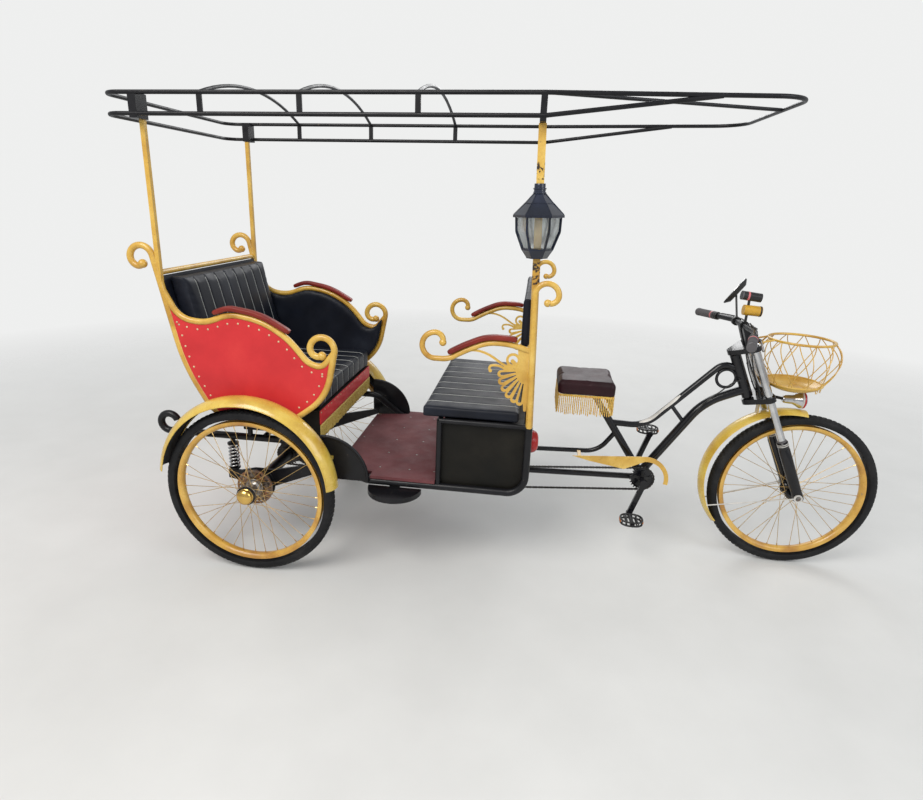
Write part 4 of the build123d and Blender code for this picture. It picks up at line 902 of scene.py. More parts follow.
seat_pad = pad("seat_cushion", blue_leather, "dark_leather", 10, (5, 3, 5))
back_pad = pad("seat_back_cushion", blue_leather, "dark_leather", 10, (5, 3, 4))
bench_pad = pad("bench_cushion", blue_leather, "dark_leather", 9, (3, 3, 4))
rest_pad = pad("bench_back_pad", blue_leather, "brown_leather", 8, (4, 4, 4))
pad("saddle", saddle_leather, "brown_leather", 6, (3, 3, 4), voxel=5)
for side_name, side in SIDES:
    name = f"seat_side_pad_{side_name}"
    pad("seat_side_pads", blue_leather, "dark_leather", 6, (1, 3, 1), voxel=9, side=side, name=name)
swell()
replaced = set()
for entry in waiting:
    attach(entry["object"], "chassis")
    if entry["node"] not in replaced:
        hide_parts(entry["node"])
        replaced.add(entry["node"])

# The back cushion's top edge is lifted towards the seat's rail

BACK_LIFT = step(-3.5, 0, 17)
BACK_LIFT_START = 950 * MM
BACK_LIFT_SPAN = 150 * MM
for v in back_pad.data.vertices:
    share = min(max((v.co.z - BACK_LIFT_START) / BACK_LIFT_SPAN, 0), 1)
    v.co += BACK_LIFT * share * share * (3 - 2 * share)

# Sewn channels and their welts

seat_seams = even_places(350, 9)
bench_seams = even_places(385, 9)
quilt(seat_pad, seat_seams, 2.6, UP)
quilt(seat_pad, seat_seams, 2.2, FORWARD, only=0.5)
quilt(back_pad, seat_seams, 2.8, (1, 0, 0.2))
quilt(bench_pad, bench_seams, 2.2, UP)
quilt(rest_pad, even_places(366, 9), 4, -FORWARD)
for name, obj, node, seams, away, ends in (
    ("seat_welts", seat_pad, "seat_cushion", seat_seams, UP, (70, -6)),
    ("seat_front_welts", seat_pad, "seat_cushion", seat_seams, FORWARD, (10, -8)),
    ("bench_welts", bench_pad, "bench_cushion", bench_seams, UP, (8, -8)),
    ("back_welts", back_pad, "seat_back_cushion", seat_seams, FORWARD, (12, -8)),
):
    low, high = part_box(node)
    if away is UP:
        start, end = (low.x + ends[0] * MM, high.z), (high.x + ends[1] * MM, high.z)
    else:
        start, end = (high.x, low.z + ends[0] * MM), (high.x, high.z + ends[1] * MM)
    welts(name, obj, seams, away, start, end)

# Arm pads: a crowned strip with fine ridges along it

SEAT_ARM_LINE = [(-122, 988), (-70, 1008), (45, 990), (145, 935)]
BENCH_ARM_LINE = [(978, 960), (960, 964), (880, 966), (800, 930), (752, 902)]
ARM_Y = 385
STRIP_STEPS = 48
STRIP_SIDES = 30
STRIP_HALF_HEIGHT = 9.6
STRIP_ENDS = (0.72, 0.9, 0.97)


def squared(share, power):
    """A sine or cosine made fuller, for a rounded rectangle."""
    return math.copysign(abs(share) ** power, share)


def arm_strip(name, line, y, width, lift, node=None):
    route = [at(x, y, z) for x, z in bent_path(shifted(line, lift))]
    path = [along_line(route, i / STRIP_STEPS) for i in range(STRIP_STEPS + 1)]
    rings = []
    for i, point in enumerate(path):
        tangent = (path[min(i + 1, STRIP_STEPS)] - path[max(i - 1, 0)]).normalized()
        normal = ACROSS.cross(tangent)
        if normal.z < 0:
            normal = -normal
        end = min(i, STRIP_STEPS - i)
        shrink = STRIP_ENDS[end] if end < len(STRIP_ENDS) else 1
        ring = []
        for k in range(STRIP_SIDES):
            c, s = arc(1, 360 * k / STRIP_SIDES)
            wide = width / 2 * squared(c, 0.55) * shrink
            tall = STRIP_HALF_HEIGHT * squared(s, 0.6) * shrink
            if s > 0.3:
                tall += 0.55 * math.cos(wide * 2 * math.pi / 5)
            ring.append(point + (ACROSS * wide + normal * tall) * MM)
        rings.append(ring)
    shape = Shape()
    shape.rings(rings)
    piece = shape.build(name, arm_leather, "chassis", angle=70, node=node, slot="brown_leather")


for side_name, side in SIDES:
    node = "arm_pads" if side < 0 else None
    arm_strip(f"seat_arm_pad_{side_name}", SEAT_ARM_LINE, side * ARM_Y, width=33, lift=21.5, node=node)
    arm_strip(f"bench_arm_pad_{side_name}", BENCH_ARM_LINE, side * ARM_Y, width=31, lift=-20.1)

# Fringes of gold thread

BEADS_ALONG = 14
BRAID_STEP = 2.2 * MM


def fringe(node, line, top_z, length, look, outward, pitch, thick, ragged, layers):
    """Hanging threads under a braid that follows a line of (x, y) points in metres."""
    name = node + "_threads"
    threads = Shape()
    total = path_length(line)
    count = int(total / (pitch * MM))
    dice = random.Random(name)
    for layer in range(layers):
        for i in range(count):
            place = along_line(line, min((i + 0.5 * layer + 0.25) / count, 1))
            top = Vector((place.x, place.y, top_z)) + outward * (layer * 1.6 - 0.8) * MM
            drop = (length + dice.uniform(-ragged, 0)) * MM
            sway = step(dice.uniform(-1, 1), dice.uniform(-1, 1), 0) * 1.6
            points = []
            widths = []
            for k in range(BEADS_ALONG + 1):
                t = k / BEADS_ALONG
                curl = step(math.sin(t * 9 + i), math.cos(t * 8 + i * 1.7), 0) * 0.5
                points.append(top - UP * drop * t + sway * t + curl * min(1, 3 * t))
                widths.append(thick * (1 if k % 2 else 0.74) * (1 if k < BEADS_ALONG else 0.7))
            threads.tube(points, widths, 5)
    threads.build(name, look, "chassis", angle=60, node=node, slot="fringe")
    braid = Shape()
    steps = max(40, int(total / BRAID_STEP))
    for strand in range(3):
        points = []
        for i in range(steps + 1):
            base = along_line(line, i / steps)
            phase = i * 0.9 + strand * 2.094
            twist = UP * 3.4 * math.sin(phase) + outward * 1.2 * (1 + math.cos(phase))
            points.append(Vector((base.x, base.y, top_z)) + twist * MM)
        braid.tube(points, 1.5, 5)
    braid.build(name + "_braid", look, "chassis", angle=60)


low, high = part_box("seat_fringe")
front = (low.x + high.x) / 2
line = [Vector((front, low.y + 2 * MM, 0)), Vector((front, high.y - 2 * MM, 0))]
height = (high.z - low.z) / MM
fringe(
    "seat_fringe", line, high.z - 5 * MM, height + 3, fringe_thread, FORWARD,
    pitch=8.4, thick=2.7, ragged=9, layers=2,
)

RING_INSET = 24 * MM
RING_CORNER = 16
low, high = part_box("saddle_fringe")
ring = []
for corner, (x, y) in enumerate(((1, 1), (-1, 1), (-1, -1), (1, -1))):
    corner_x = (high.x if x > 0 else low.x) - x * RING_INSET
    corner_y = (high.y if y > 0 else low.y) - y * RING_INSET
    eye = Vector((corner_x, corner_y, 0))
    ring += [ring_place(eye, RING_CORNER, 90 * corner + 15 * k) for k in range(7)]
ring.append(ring[0].copy())
height = (high.z - low.z) / MM
fringe(
    "saddle_fringe", ring, high.z + 1 * MM, height - 4, orange_thread, Vector(),
    pitch=7.6, thick=2.5, ragged=11, layers=1,
)

# The red valance over the fringe, slightly slack between its tacks

VALANCE_COLUMNS = 120
VALANCE_ROWS = 14
VALANCE_TACK_COLUMNS = 20
low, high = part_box("seat_valance")
rings = []
for i in range(VALANCE_COLUMNS + 1):
    y = low.y + (high.y - low.y) * i / VALANCE_COLUMNS
    slack = 0.7 * (1 - math.cos(2 * math.pi * i / VALANCE_TACK_COLUMNS))
    front_edge = []
    back_edge = []
    for k in range(VALANCE_ROWS + 1):
        t = k / VALANCE_ROWS
        bulge = slack * math.sin(math.pi * t) + 0.4 * math.sin(t * 12 + i * 0.3)
        z = low.z + 0.5 * MM + (high.z - low.z - 1 * MM) * t
        front_edge.append(Vector((low.x + (3.4 + bulge) * MM, y, z)))
        back_edge.append(Vector((low.x + 0.3 * MM, y, z)))
    rings.append(front_edge + back_edge[::-1])
valance = Shape()
valance.rings(rings)
valance.build("seat_valance_cloth", red_leather, "chassis", angle=50, node="seat_valance", slot="red_panel")

# Tacks round the red panels and along the valance

BACK_LINE = [(0, 603), (-150, 603), (-262, 800), (-320, 1082)]
FRONT_LINE = [(0, 603), (140, 603), (288, 715), (322, 888)]
ARM_LINE = [
    (-320, 1082), (-268, 982), (-165, 966), (-70, 1008), (45, 990), (145, 935), (222, 842), (275, 828),
    (322, 888),
]
PANEL_FACE = 392
TACK_PITCH = 41
TACK_INSET = 27
VALANCE_TACKS = 18
VALANCE_TACK_REACH = 340
VALANCE_TACK_PLACE = (249.5, 637)


def tack_row(points, distance, trim):
    """Places at an even pitch along a smooth line beside some corner points."""
    line = [Vector((x, 0, z)) for x, z in bent_path(shifted(points, distance))]
    total = path_length(line)
    count = int((total - sum(trim)) / TACK_PITCH)
    return [along_line(line, (trim[0] + TACK_PITCH * i) / total) for i in range(count + 1)]


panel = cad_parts["seat_panels"]
panel_corners = [panel.matrix_world @ v.co for v in panel.data.vertices]
panel_tree = BVHTree.FromPolygons(panel_corners, [p.vertices for p in panel.data.polygons])


def on_panel(centre, side):
    """True where the side panel's outer face lies under a tack."""
    hit = panel_tree.ray_cast(Vector((centre.x, side * 0.6, centre.z)), ACROSS * -side)[0]
    return hit is not None and abs(abs(hit.y) - PANEL_FACE * MM) < 2 * MM


tack_places = tack_row(BACK_LINE, -TACK_INSET, (150, 40)) + tack_row(FRONT_LINE, TACK_INSET, (150, 40))
tack_places += tack_row(ARM_LINE, -TACK_INSET, (45, 60))
tacks = Shape()
for side in (-1, 1):
    for place in tack_places:
        centre = at(place.x, side * PANEL_FACE, place.z)
        if on_panel(centre, side):
            tacks.lathe([(0.2, side * 2.2), (2.2, side * 1.7), (3.6, side * 0.5), (3.8, 0)], centre, 12)
tacks.build("panel_tacks", cream, "chassis")
valance_tacks = Shape()
for i in range(VALANCE_TACKS):
    y = VALANCE_TACK_REACH * (2 * i / (VALANCE_TACKS - 1) - 1)
    valance_tacks.ball(at(VALANCE_TACK_PLACE[0], y, VALANCE_TACK_PLACE[1]), 3.2, 4, 8, (0.7, 1, 1))
valance_tacks.build("valance_tacks", cream, "chassis")

# Screws in the floor

FLOOR_TOP = 411.3
SCREW_HEAD = [(0.3, 0.9), (3.6, 0.7), (4.6, 0.1), (4.7, -0.6)]
screws = Shape()
for x in (320, 470, 590, 690):
    for y in (-300, -150, 0, 150, 300):
        screws.lathe(SCREW_HEAD, at(x, y, FLOOR_TOP), 12, axis="Z")
screws.build("floor_screws", steel, "chassis")

# Chains, link by link

LINK = 12.7
LINK_END = 3.9
LINK_WAIST = 2.6
CHAIN_SAMPLES = 90


def pitch_radius(teeth):
    return LINK / 2 / math.sin(math.pi / teeth)


def chain_pins(first, second):
    """Pin places round two (x, z, radius) sprockets, an even pitch apart."""
    (x1, z1, r1), (x2, z2, r2) = first, second
    base = math.degrees(math.atan2(z2 - z1, x2 - x1))
    lean = math.degrees(math.acos((r1 - r2) / math.hypot(x2 - x1, z2 - z1)))
    wraps = ((x1, z1, r1, base + lean, 360 - 2 * lean), (x2, z2, r2, base - lean, 2 * lean))
    line = []
    for x, z, r, start, sweep in wraps:
        for i in range(CHAIN_SAMPLES + 1):
            sideways, height = arc(r, start + sweep * i / CHAIN_SAMPLES)
            line.append(Vector((x + sideways, 0, z + height)))
    line.append(line[0])
    count = 2 * round(path_length(line) / LINK / 2)
    return [along_line(line, i / count) for i in range(count)]


def chain_links(first, second, y):
    shape = Shape()
    pins = chain_pins(first, second)
    for i, a in enumerate(pins):
        b = pins[(i + 1) % len(pins)]
        along = (b - a).normalized()
        upward = Vector((-along.z, 0, along.x))
        for side in (-1, 1):
            face = y + side * (1.85 if i % 2 else 2.9)
            outline = []
            for end, sign in ((a, -1), (b, 1)):
                for k in range(5):
                    c, s = arc(sign * LINK_END, 39 * k - 78)
                    outline.append(end + along * c + upward * s)
                outline.append((a + b) / 2 + upward * sign * LINK_WAIST)
            shape.plate([at(place.x, face, place.z) for place in outline], side * 0.9)
        shape.tube([at(a.x, y - 3.9, a.z), at(a.x, y + 3.9, a.z)], 1.9, 7)
    return shape


LARGE_SPROCKET = pitch_radius(24)
SMALL_SPROCKET = pitch_radius(12)
RELAY = (860, 298)
front_chain = chain_links((1537, 353, LARGE_SPROCKET), (*RELAY, LARGE_SPROCKET), -60)
front_chain.build("front_chain", chain_steel, "chassis", angle=0, node="chains", slot="steel")
rear_chain = chain_links((0, 335, LARGE_SPROCKET), (*RELAY, SMALL_SPROCKET), -88)
rear_chain.build("rear_chain", chain_steel, "chassis", angle=0)

# Basket: crossing wires between a rim and a dish

BASKET_X = 2076
BASKET_LEVELS = [(105, 801), (134, 850), (150, 900), (141, 942), (118, 972)]
BASKET_FOOT, BASKET_RIM = BASKET_LEVELS[0], BASKET_LEVELS[-1]
WIRE_PAIRS = 12
WIRE_TURN = 34
CURLS = 7
CURL_RADIUS = 101
CURL_Z = 786
DISH = [
    (0.5, -9), (66, -5), (96, 8), (105, 20), (103, 21.5), (92, 12), (86, 8.6), (84, 7.4), (62, 0), (40, 0),
    (38, 0.8), (36, 0), (0.5, 0),
]


def basket_place(radius, degrees, z):
    return ring_place(at(BASKET_X, 0, z), radius, degrees)


basket = Shape()
for (radius, z), wire in ((BASKET_RIM, 5), (BASKET_FOOT, 4)):
    basket.tube([basket_place(radius, 360 * k / 96, z) for k in range(96)], wire, 10, closed=True)
for number in range(WIRE_PAIRS):
    for turn, start, offset in ((WIRE_TURN, 30 * number, 2.1), (-WIRE_TURN, 30 * number + 9, -2.1)):
        points = []
        for level in BASKET_LEVELS:
            radius = level[0] + (0 if level in (BASKET_FOOT, BASKET_RIM) else offset)
            share = (level[1] - BASKET_FOOT[1]) / (BASKET_RIM[1] - BASKET_FOOT[1])
            points.append(basket_place(radius, start + turn * share, level[1]))
        basket.tube(smooth_path(points, 7), 1.8, 7)
for side in (-1, 1):
    basket.tube([on_head(85.3, side * 40, 211), at(BASKET_X - 111, side * 40, BASKET_RIM[1])], 3.6)
for number in range(CURLS):
    angle = 18 * number - 54
    x, y = arc(1, angle)
    curl = []
    for k in range(15):
        sideways, height = arc(9 - 0.35 * k, 25 * k)
        curl.append(basket_place(CURL_RADIUS, angle, CURL_Z) + step(-y * sideways, x * sideways, height))
    basket.tube(curl, 1.6, 6)
basket.build("basket_wires", gold, "steering", node="basket", slot="gold_paint")
dish = Shape()
dish.lathe(DISH, at(BASKET_X, 0, 780), 96, axis="Z")
dish.build("basket_dish", gold, "steering", angle=35)

# Headlight: chrome shell with a white and a red ring, and a ribbed lens

LENS_STEPS = 24
LENS_RADIUS = 30
lens = [(LENS_RADIUS, 2132.3)]
for k in range(LENS_STEPS + 1):
    r = LENS_RADIUS - 29.5 * k / LENS_STEPS
    rib = -0.35 if k % 2 else 0.35
    lens.append((r, 2132.6 + 7.2 * math.sqrt(1 - (r / 30.5) ** 2) + rib))
SHELL = [
    (1, 2050), (11.6, 2050.3), (12.4, 2052), (15.8, 2056), (17.6, 2072), (18, 2088), (22, 2096), (28.5, 2108),
    (31, 2112), (33.2, 2117), (33.2, 2118), (1, 2118),
]
WHITE_RING = [(30, 2118), (33.6, 2118.3), (33.9, 2121), (33.6, 2124.6), (30, 2124.8)]
RED_RING = [(29.5, 2124.9), (33.8, 2125), (33.95, 2128), (33.4, 2131.7), (30.6, 2132), (29.5, 2131.4)]
REFLECTOR = [(29.6, 2131.6), (20, 2124), (10, 2120), (0.4, 2118.4)]


def headlight_part(part, profile, look, angle, closed=False, node=None, slot=None):
    shape = Shape()
    shape.lathe(profile, at(0, 0, 729), 64, axis="X", closed=closed)
    shape.build("headlight_" + part, look, "steering", angle=angle, node=node, slot=slot)


headlight_part("shell", SHELL, chrome, 30, node="headlight", slot="chrome")
headlight_part("white_ring", WHITE_RING, white, 40, closed=True)
headlight_part("red_ring", RED_RING, red_plastic, 40, closed=True)
bracket = Shape()
bracket.tube([at(2004, 0, 737), at(2028, 0, 734), at(2056, 0, 729.5)], 6, 10)
for place in (at(2012, 0, 736), at(2046, 0, 731)):
    bracket.lathe(mirrored([(0.3, 8), (4.6, 7.6), (5.2, 5)]), place, 6)
bracket.build("headlight_bracket", black, "steering", angle=30)
headlight_part("lens_dome", lens, lens_glass, 20, node="headlight_lens", slot="glass")
headlight_part("reflector", REFLECTOR, chrome, 50)

# Grips with fine ridges and a pink end ring, and the brake levers

GRIP_LENGTH = 118
CLAMP_BACK = 26
RIDGES = [(10 + 2.2 * k, 15.1 if k % 2 else 16.3) for k in range(44)]
GRIP = [(0, 11.4), (0.3, 16.4), (3, 16.9), (8, 16.9), (9, 15.2)] + RIDGES + [
    (108, 15.4), (111, 16.9), (119, 16.9), (121.6, 15.5), (121.9, 4), (122, 0.4),
]
GRIP_RING = [(9.2, 15.0), (9.3, 16.75), (16.6, 16.75), (16.8, 15.0)]
LEVER_CLAMP = [
    (0, 11.4), (0.4, 15.6), (2, 16.8), (7, 16.9), (8, 15.6), (12, 15.6), (13, 16.9), (18, 16.8), (19.6, 15.6),
    (20, 11.4),
]
BLADE_STEPS = 12


def bar_end(side):
    """The inner and outer places of the handlebar's swept end, and its direction."""
    inner = at(1851, side * 130, 1015)
    outer = at(1768, side * 365, 1003)
    return inner, outer, (outer - inner).normalized()


grips = Shape()
grip_rings = Shape()
clamps = Shape()
blades = Shape()
for side in (-1, 1):
    inner, outer, along = bar_end(side)
    start = outer - along * GRIP_LENGTH * MM
    grips.sleeve(start, along, GRIP)
    grip_rings.sleeve(start, along, GRIP_RING)
    clamp_start = start - along * CLAMP_BACK * MM
    clamps.sleeve(clamp_start, along, LEVER_CLAMP)
    clamp_middle = clamp_start + along * 10 * MM
    hinge = clamp_middle + step(26, 0, -6)
    clamps.tube([clamp_middle + step(13, 0, -3), hinge], [7, 6.4], 12)
    blade_end = hinge + along * 110 * MM + step(14, 0, -8)
    blade = []
    radii = []
    for k in range(BLADE_STEPS + 1):
        t = k / BLADE_STEPS
        bow = math.sin(math.pi * t)
        blade.append(hinge.lerp(blade_end, t) + step(0.8, 0, 1.2) * bow)
        radii.append(4.6 - 1.7 * bow)
    blades.tube(blade, radii, 10)
    blades.ball(blade_end, 4.9)
grips.build("ribbed_grips", rubber, "steering", angle=30, node="grips", slot="rubber")
grip_rings.build("grip_rings", pink_plastic, "steering")
clamps.build("lever_clamps", black_plastic, "steering", angle=30, node="brake_levers", slot="black_plastic")
blades.build("lever_blades", steel, "steering", angle=50)

# Lanterns: eaves beads, ridge ribs, a collar and worn post paint

LEAN = math.radians(1.83)
POST_UP = Vector((-math.sin(LEAN), 0, math.cos(LEAN)))
POST_FORWARD = Vector((math.cos(LEAN), 0, math.sin(LEAN)))
POST_FOOT = (1047, 675)
POST_Y = 385
POST_HALF = 12.75
LANTERN_Z = 1262
HOOPS = ((82, 134, 2.2), (80.5, 139, 1.6), (50, 30, 2.4), (34, 1.5, 2.0), (47, 174, 1.8), (19, 205, 2.4))
RIDGES_OVER = (((81, 140), (46, 175), 1.8), ((45.5, 175), (19, 205), 1.6))
RIB_LEVELS = ((47, 31), (57, 56), (66.8, 82), (69.2, 88), (70, 108), (70.8, 129))
LANTERN_COLLAR = [
    (0, 18), (0.4, 21), (5, 21), (6, 19.4), (12, 19), (13, 21.4), (17, 21.4), (18, 18.4), (30, 18),
    (30.4, 17.8),
]


def post_place(side, z):
    """The middle of a leaning front post at a height."""
    return at(POST_FOOT[0] - (z - POST_FOOT[1]) * math.tan(LEAN), side * POST_Y, z)


def hexagon(centre, radius, height):
    """Six corners round the leaning lantern."""
    corners = []
    for k in range(6):
        forward, sideways = arc(radius, 60 * k)
        corners.append(centre + (POST_FORWARD * forward + ACROSS * sideways + POST_UP * height) * MM)
    return corners


beads = Shape()
for side in (-1, 1):
    centre = post_place(side, LANTERN_Z)
    for radius, height, wire in HOOPS:
        beads.tube(hexagon(centre, radius, height), wire, closed=True)
    for lower, upper, wire in RIDGES_OVER:
        for ends in zip(hexagon(centre, *lower), hexagon(centre, *upper)):
            beads.tube(ends, wire, 6)
    for rib in zip(*(hexagon(centre, radius, height) for radius, height in RIB_LEVELS)):
        beads.tube(rib, 3, 6)
    beads.sleeve(centre + POST_UP * 204 * MM, POST_UP, LANTERN_COLLAR, 24)
beads.build("lantern_beads", lantern_blue, "chassis")

worn = Shape()
for side in (-1, 1):
    for heights in ((1176, 1250), (1508, 1560)):
        rings = []
        for z in heights:
            corners = ((-1, -1), (1, -1), (1, 1), (-1, 1))
            rings.append([post_place(side, z) + step(a * POST_HALF, b * POST_HALF, 0) for a, b in corners])
        worn.rings(rings)
worn.build("worn_post_paint", worn_gold, "chassis", angle=0)

# Fork legs with rubber seals and two white rings, and the axle nuts

FORK_LEG = [
    (0, 15.4), (0.5, 19.5), (3, 21.4), (20, 21.8), (22, 20.6), (34, 20.6), (37, 21.8), (120, 21.8),
    (190, 21.6), (232, 20.6), (252, 21.8), (268, 21.4), (273, 18.5), (275, 0.5),
]
FORK_SEAL = [(0, 15.2), (0.6, 16.6), (3, 17.6), (5, 17.2), (7, 18.6), (7.4, 15.4)]
LEG_RING = [(0, 21.2), (0.3, 22), (3.2, 22), (3.5, 21.2)]
WASHER = [(0, 5), (0.1, 11), (1.6, 11.2), (1.7, 8)]
NUT = [(0, 5), (0.1, 9), (3.5, 9), (4.3, 7.5), (4.4, 0.4)]
legs = Shape()
seals = Shape()
leg_rings = Shape()
nuts = Shape()
for side in (-1, 1):
    top = on_head(63, side * 62, -206.5)
    legs.sleeve(top, -STEER_AXIS, FORK_LEG, 40)
    seals.sleeve(top + STEER_AXIS * 7.5 * MM, -STEER_AXIS, FORK_SEAL, 40)
    for drop in (7, 14):
        leg_rings.sleeve(top - STEER_AXIS * drop * MM, -STEER_AXIS, LEG_RING, 40)
    outward = ACROSS * side
    nuts.sleeve(front_axle + outward * 84.4 * MM, outward, WASHER)
    nuts.sleeve(front_axle + outward * 86.1 * MM, outward, NUT, 6)
legs.build("fork_legs", black_gloss, "steering", angle=35, node="fork_lowers", slot="black_paint")
seals.build("fork_seals", rubber, "steering")
leg_rings.build("fork_leg_rings", white, "steering")
nuts.build("front_axle_nuts", steel, "steering", angle=30)
spindle = Shape()
spindle.sleeve(front_axle - step(0, 84, 0), ACROSS, [(0, 0.4), (0, 5), (168, 5), (168, 0.4)], 20)
spindle.build("front_axle_spindle", steel, "steering")

# Handlebar lamp's rim and clear front, the horn's mouth and a band round it

LAMP_END = at(1905, 0, 1072)
LAMP_AXIS = Vector((67, 0, -4)).normalized()
HORN_END = at(1822, 0, 1132)
HORN_AXIS = Vector((-74, 0, 8)).normalized()
for name, look, start, along, profile in (
    ("handlebar_lamp_rim", black_plastic, LAMP_END - LAMP_AXIS * 8 * MM, LAMP_AXIS,
     [(0, 19.8), (0.4, 20.4), (6, 20.4), (7.8, 19.6), (8, 16.5), (6.5, 16)]),
    ("handlebar_lamp_glass", lens_glass, LAMP_END - LAMP_AXIS * 1.5 * MM, LAMP_AXIS,
     [(0, 16.4), (0.8, 15.6), (1.8, 12), (2.4, 7), (2.6, 0.4)]),
    ("horn_mouth", rubber, HORN_END - HORN_AXIS * 5 * MM, HORN_AXIS,
     [(0, 17), (0.3, 17.4), (4.6, 17.4), (5.2, 16), (3.6, 13), (3.2, 0.4)]),
    ("horn_band", pink_plastic, at(1850, 0, 1129), HORN_AXIS,
     [(0, 16.9), (0.2, 17.5), (6.8, 17.5), (7, 16.9)]),
):
    shape = Shape()
    shape.sleeve(start, along, profile, 40)
    shape.build(name, look, "steering")

# Mirror glass in a thin plated rim

MIRROR_RIGHT = Vector((0.5736, 0, 0.8192))
MIRROR_OUT = Vector((-0.77, 0.342, 0.539)).normalized()
MIRROR_UP = MIRROR_OUT.cross(MIRROR_RIGHT).normalized()
MIRROR_MIDDLE = at(1848, 150, 1125)
MIRROR_FACE = ((58, 31, 9.1), (40, 21, 9.3), (20, 10.5, 9.35), (0.5, 0.3, 9.4))


def mirror_ring(long_half, short_half, lift):
    ring = []
    for k in range(64):
        c, s = arc(1, 360 * k / 64)
        offset = MIRROR_RIGHT * long_half * c + MIRROR_UP * short_half * s + MIRROR_OUT * lift
        ring.append(MIRROR_MIDDLE + offset * MM)
    return ring


mirror_face = Shape()
mirror_face.rings([mirror_ring(*sizes) for sizes in MIRROR_FACE])
mirror_face.build("mirror_glass", silver, "steering", angle=60)
mirror_edge = Shape()
mirror_edge.tube(mirror_ring(60, 33, 9.2), 1.6, closed=True)
mirror_edge.build("mirror_rim", chrome, "steering")

# Brake cables clipped along the bar and down the head, and one cable on the frame

CABLE = 2.6
CLIPPED = (2, 3, 9, 10)
cables = Shape()
clips = Shape()
for side in (-1, 1):
    inner, outer, along = bar_end(side)
    route = [
        inner + along * 105 * MM + step(12, 0, 12), inner + along * 60 * MM + step(4, 0, 14),
        inner + along * 10 * MM + step(4, 0, 14), at(1853, side * 90, 1029), at(1858, side * 44, 1031),
        at(1872, side * 30, 1016), on_head(80, side * 32, 226), on_head(84, side * 34, 205),
        on_head(58, side * 34, 190), on_head(42, side * 36, 120), on_head(40, side * 36, 40),
        on_head(44, side * 38, -2), on_head(52, side * 42, -8),
    ]
    cables.tube(smooth_path(route), CABLE)
    for index in CLIPPED:
        clips.ball(route[index], 4.4, squash=(1, 1, 0.8))
cables.build("brake_cables", black_plastic, "steering", angle=60)
clips.build("cable_clips", black_plastic, "steering", angle=60)
frame_cable = Shape()
frame_cable.tube(smooth_path([
    at(1868, -30, 800), at(1840, -27, 786), at(1800, -22, 745), at(1752, -22, 700), at(1690, -22, 600),
    at(1620, -22, 490), at(1560, -22, 400), at(1528, -26, 380),
]), CABLE)
frame_cable.build("frame_cable", black_plastic, "chassis", angle=60)

# A plain pale band on the top tube, with nothing printed on it

TOP_TUBE = [(1388, 573), (1530, 568), (1800, 858), (1864, 838)]
BAND_STEPS = 60
BAND_START = 120
BAND_LENGTH = 205
BAND_RADIUS = 13.3
BAND_DEPTH = 0.15 * MM
tube_line = [Vector((x, 0, z)) for x, z in bent_path(TOP_TUBE)]
tube_length = path_length(tube_line)
rings = []
for i in range(BAND_STEPS + 1):
    t = i / BAND_STEPS
    share = (BAND_START + BAND_LENGTH * t) / tube_length
    place = along_line(tube_line, share)
    tangent = (along_line(tube_line, share + 0.004) - place).normalized()
    upward = Vector((-tangent.z, 0, tangent.x))
    width = 34 * math.sin(math.pi * min(max(t, 0.03), 0.97)) ** 0.4 + 8 * math.sin(t * 9)
    ring = []
    for k in range(11):
        c, s = arc(BAND_RADIUS * MM, 40 - width + 2 * width * k / 10)
        ring.append(at(place.x, 0, place.z) + upward * c - ACROSS * s)
    core = sum(ring, Vector()) / len(ring)
    sink = (ring[5] - core).normalized()
    under = [point + ((core - point).normalized() - sink) * BAND_DEPTH for point in reversed(ring)]
    rings.append(ring + under)
pale_band = Shape()
pale_band.rings(rings)
pale_band.build("top_tube_band", white, "chassis", angle=60)

# Edging under the bench box, so that no light shows between it and its rails

box_low, box_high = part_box("bench_box")
rail_back = at(708, 0, 0).x
rail_front = at(1043, 0, 0).x
corner_x = at(1030, 0, 0).x
edging = Shape()
for near_y, far_y in ((-356.6 * MM, -354 * MM), (354 * MM, 356.6 * MM)):
    edging.block((rail_back, near_y, 386 * MM), (box_low.x, far_y, 652 * MM))
    edging.block((box_high.x, near_y, 398 * MM), (rail_front, far_y, 652 * MM))
    edging.block((rail_back, near_y, 380 * MM), (corner_x, far_y, box_low.z))
    edging.block((rail_back, near_y, box_high.z), (rail_front, far_y, 654 * MM))
edging.build("box_edging", box_board, "chassis", angle=0)

# The red lamp on the box: a ribbed dome in a black bezel

DOME_STEPS = 40
low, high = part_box("box_lamp")
lamp_foot = Vector((low.x, (low.y + high.y) / 2, (low.z + high.z) / 2))
dome = [(44, 0.3)]
for k in range(DOME_STEPS + 1):
    c, s = arc(1, 90 * k / DOME_STEPS)
    ripple = 0.4 * math.cos(k * math.pi / 1.5)
    dome.append((46.4 * c ** 0.6 + 0.2 + ripple * c, 12 + 48.5 * s ** 0.6))
bezel = [(43, 0.3), (47.8, 0.3), (47.8, 10), (46.5, 13), (44.2, 13.6), (43, 11)]
shape = Shape()
shape.lathe(dome, lamp_foot, 72, axis="X")
shape.build("box_lamp_dome", red_plastic, "chassis", angle=25, node="box_lamp", slot="red_plastic")
shape = Shape()
shape.lathe(bezel, lamp_foot, 72, axis="X", closed=True)
shape.build("box_lamp_bezel", black_plastic, "chassis", angle=35)

# Pedals: an oval cage with bars and grip pins

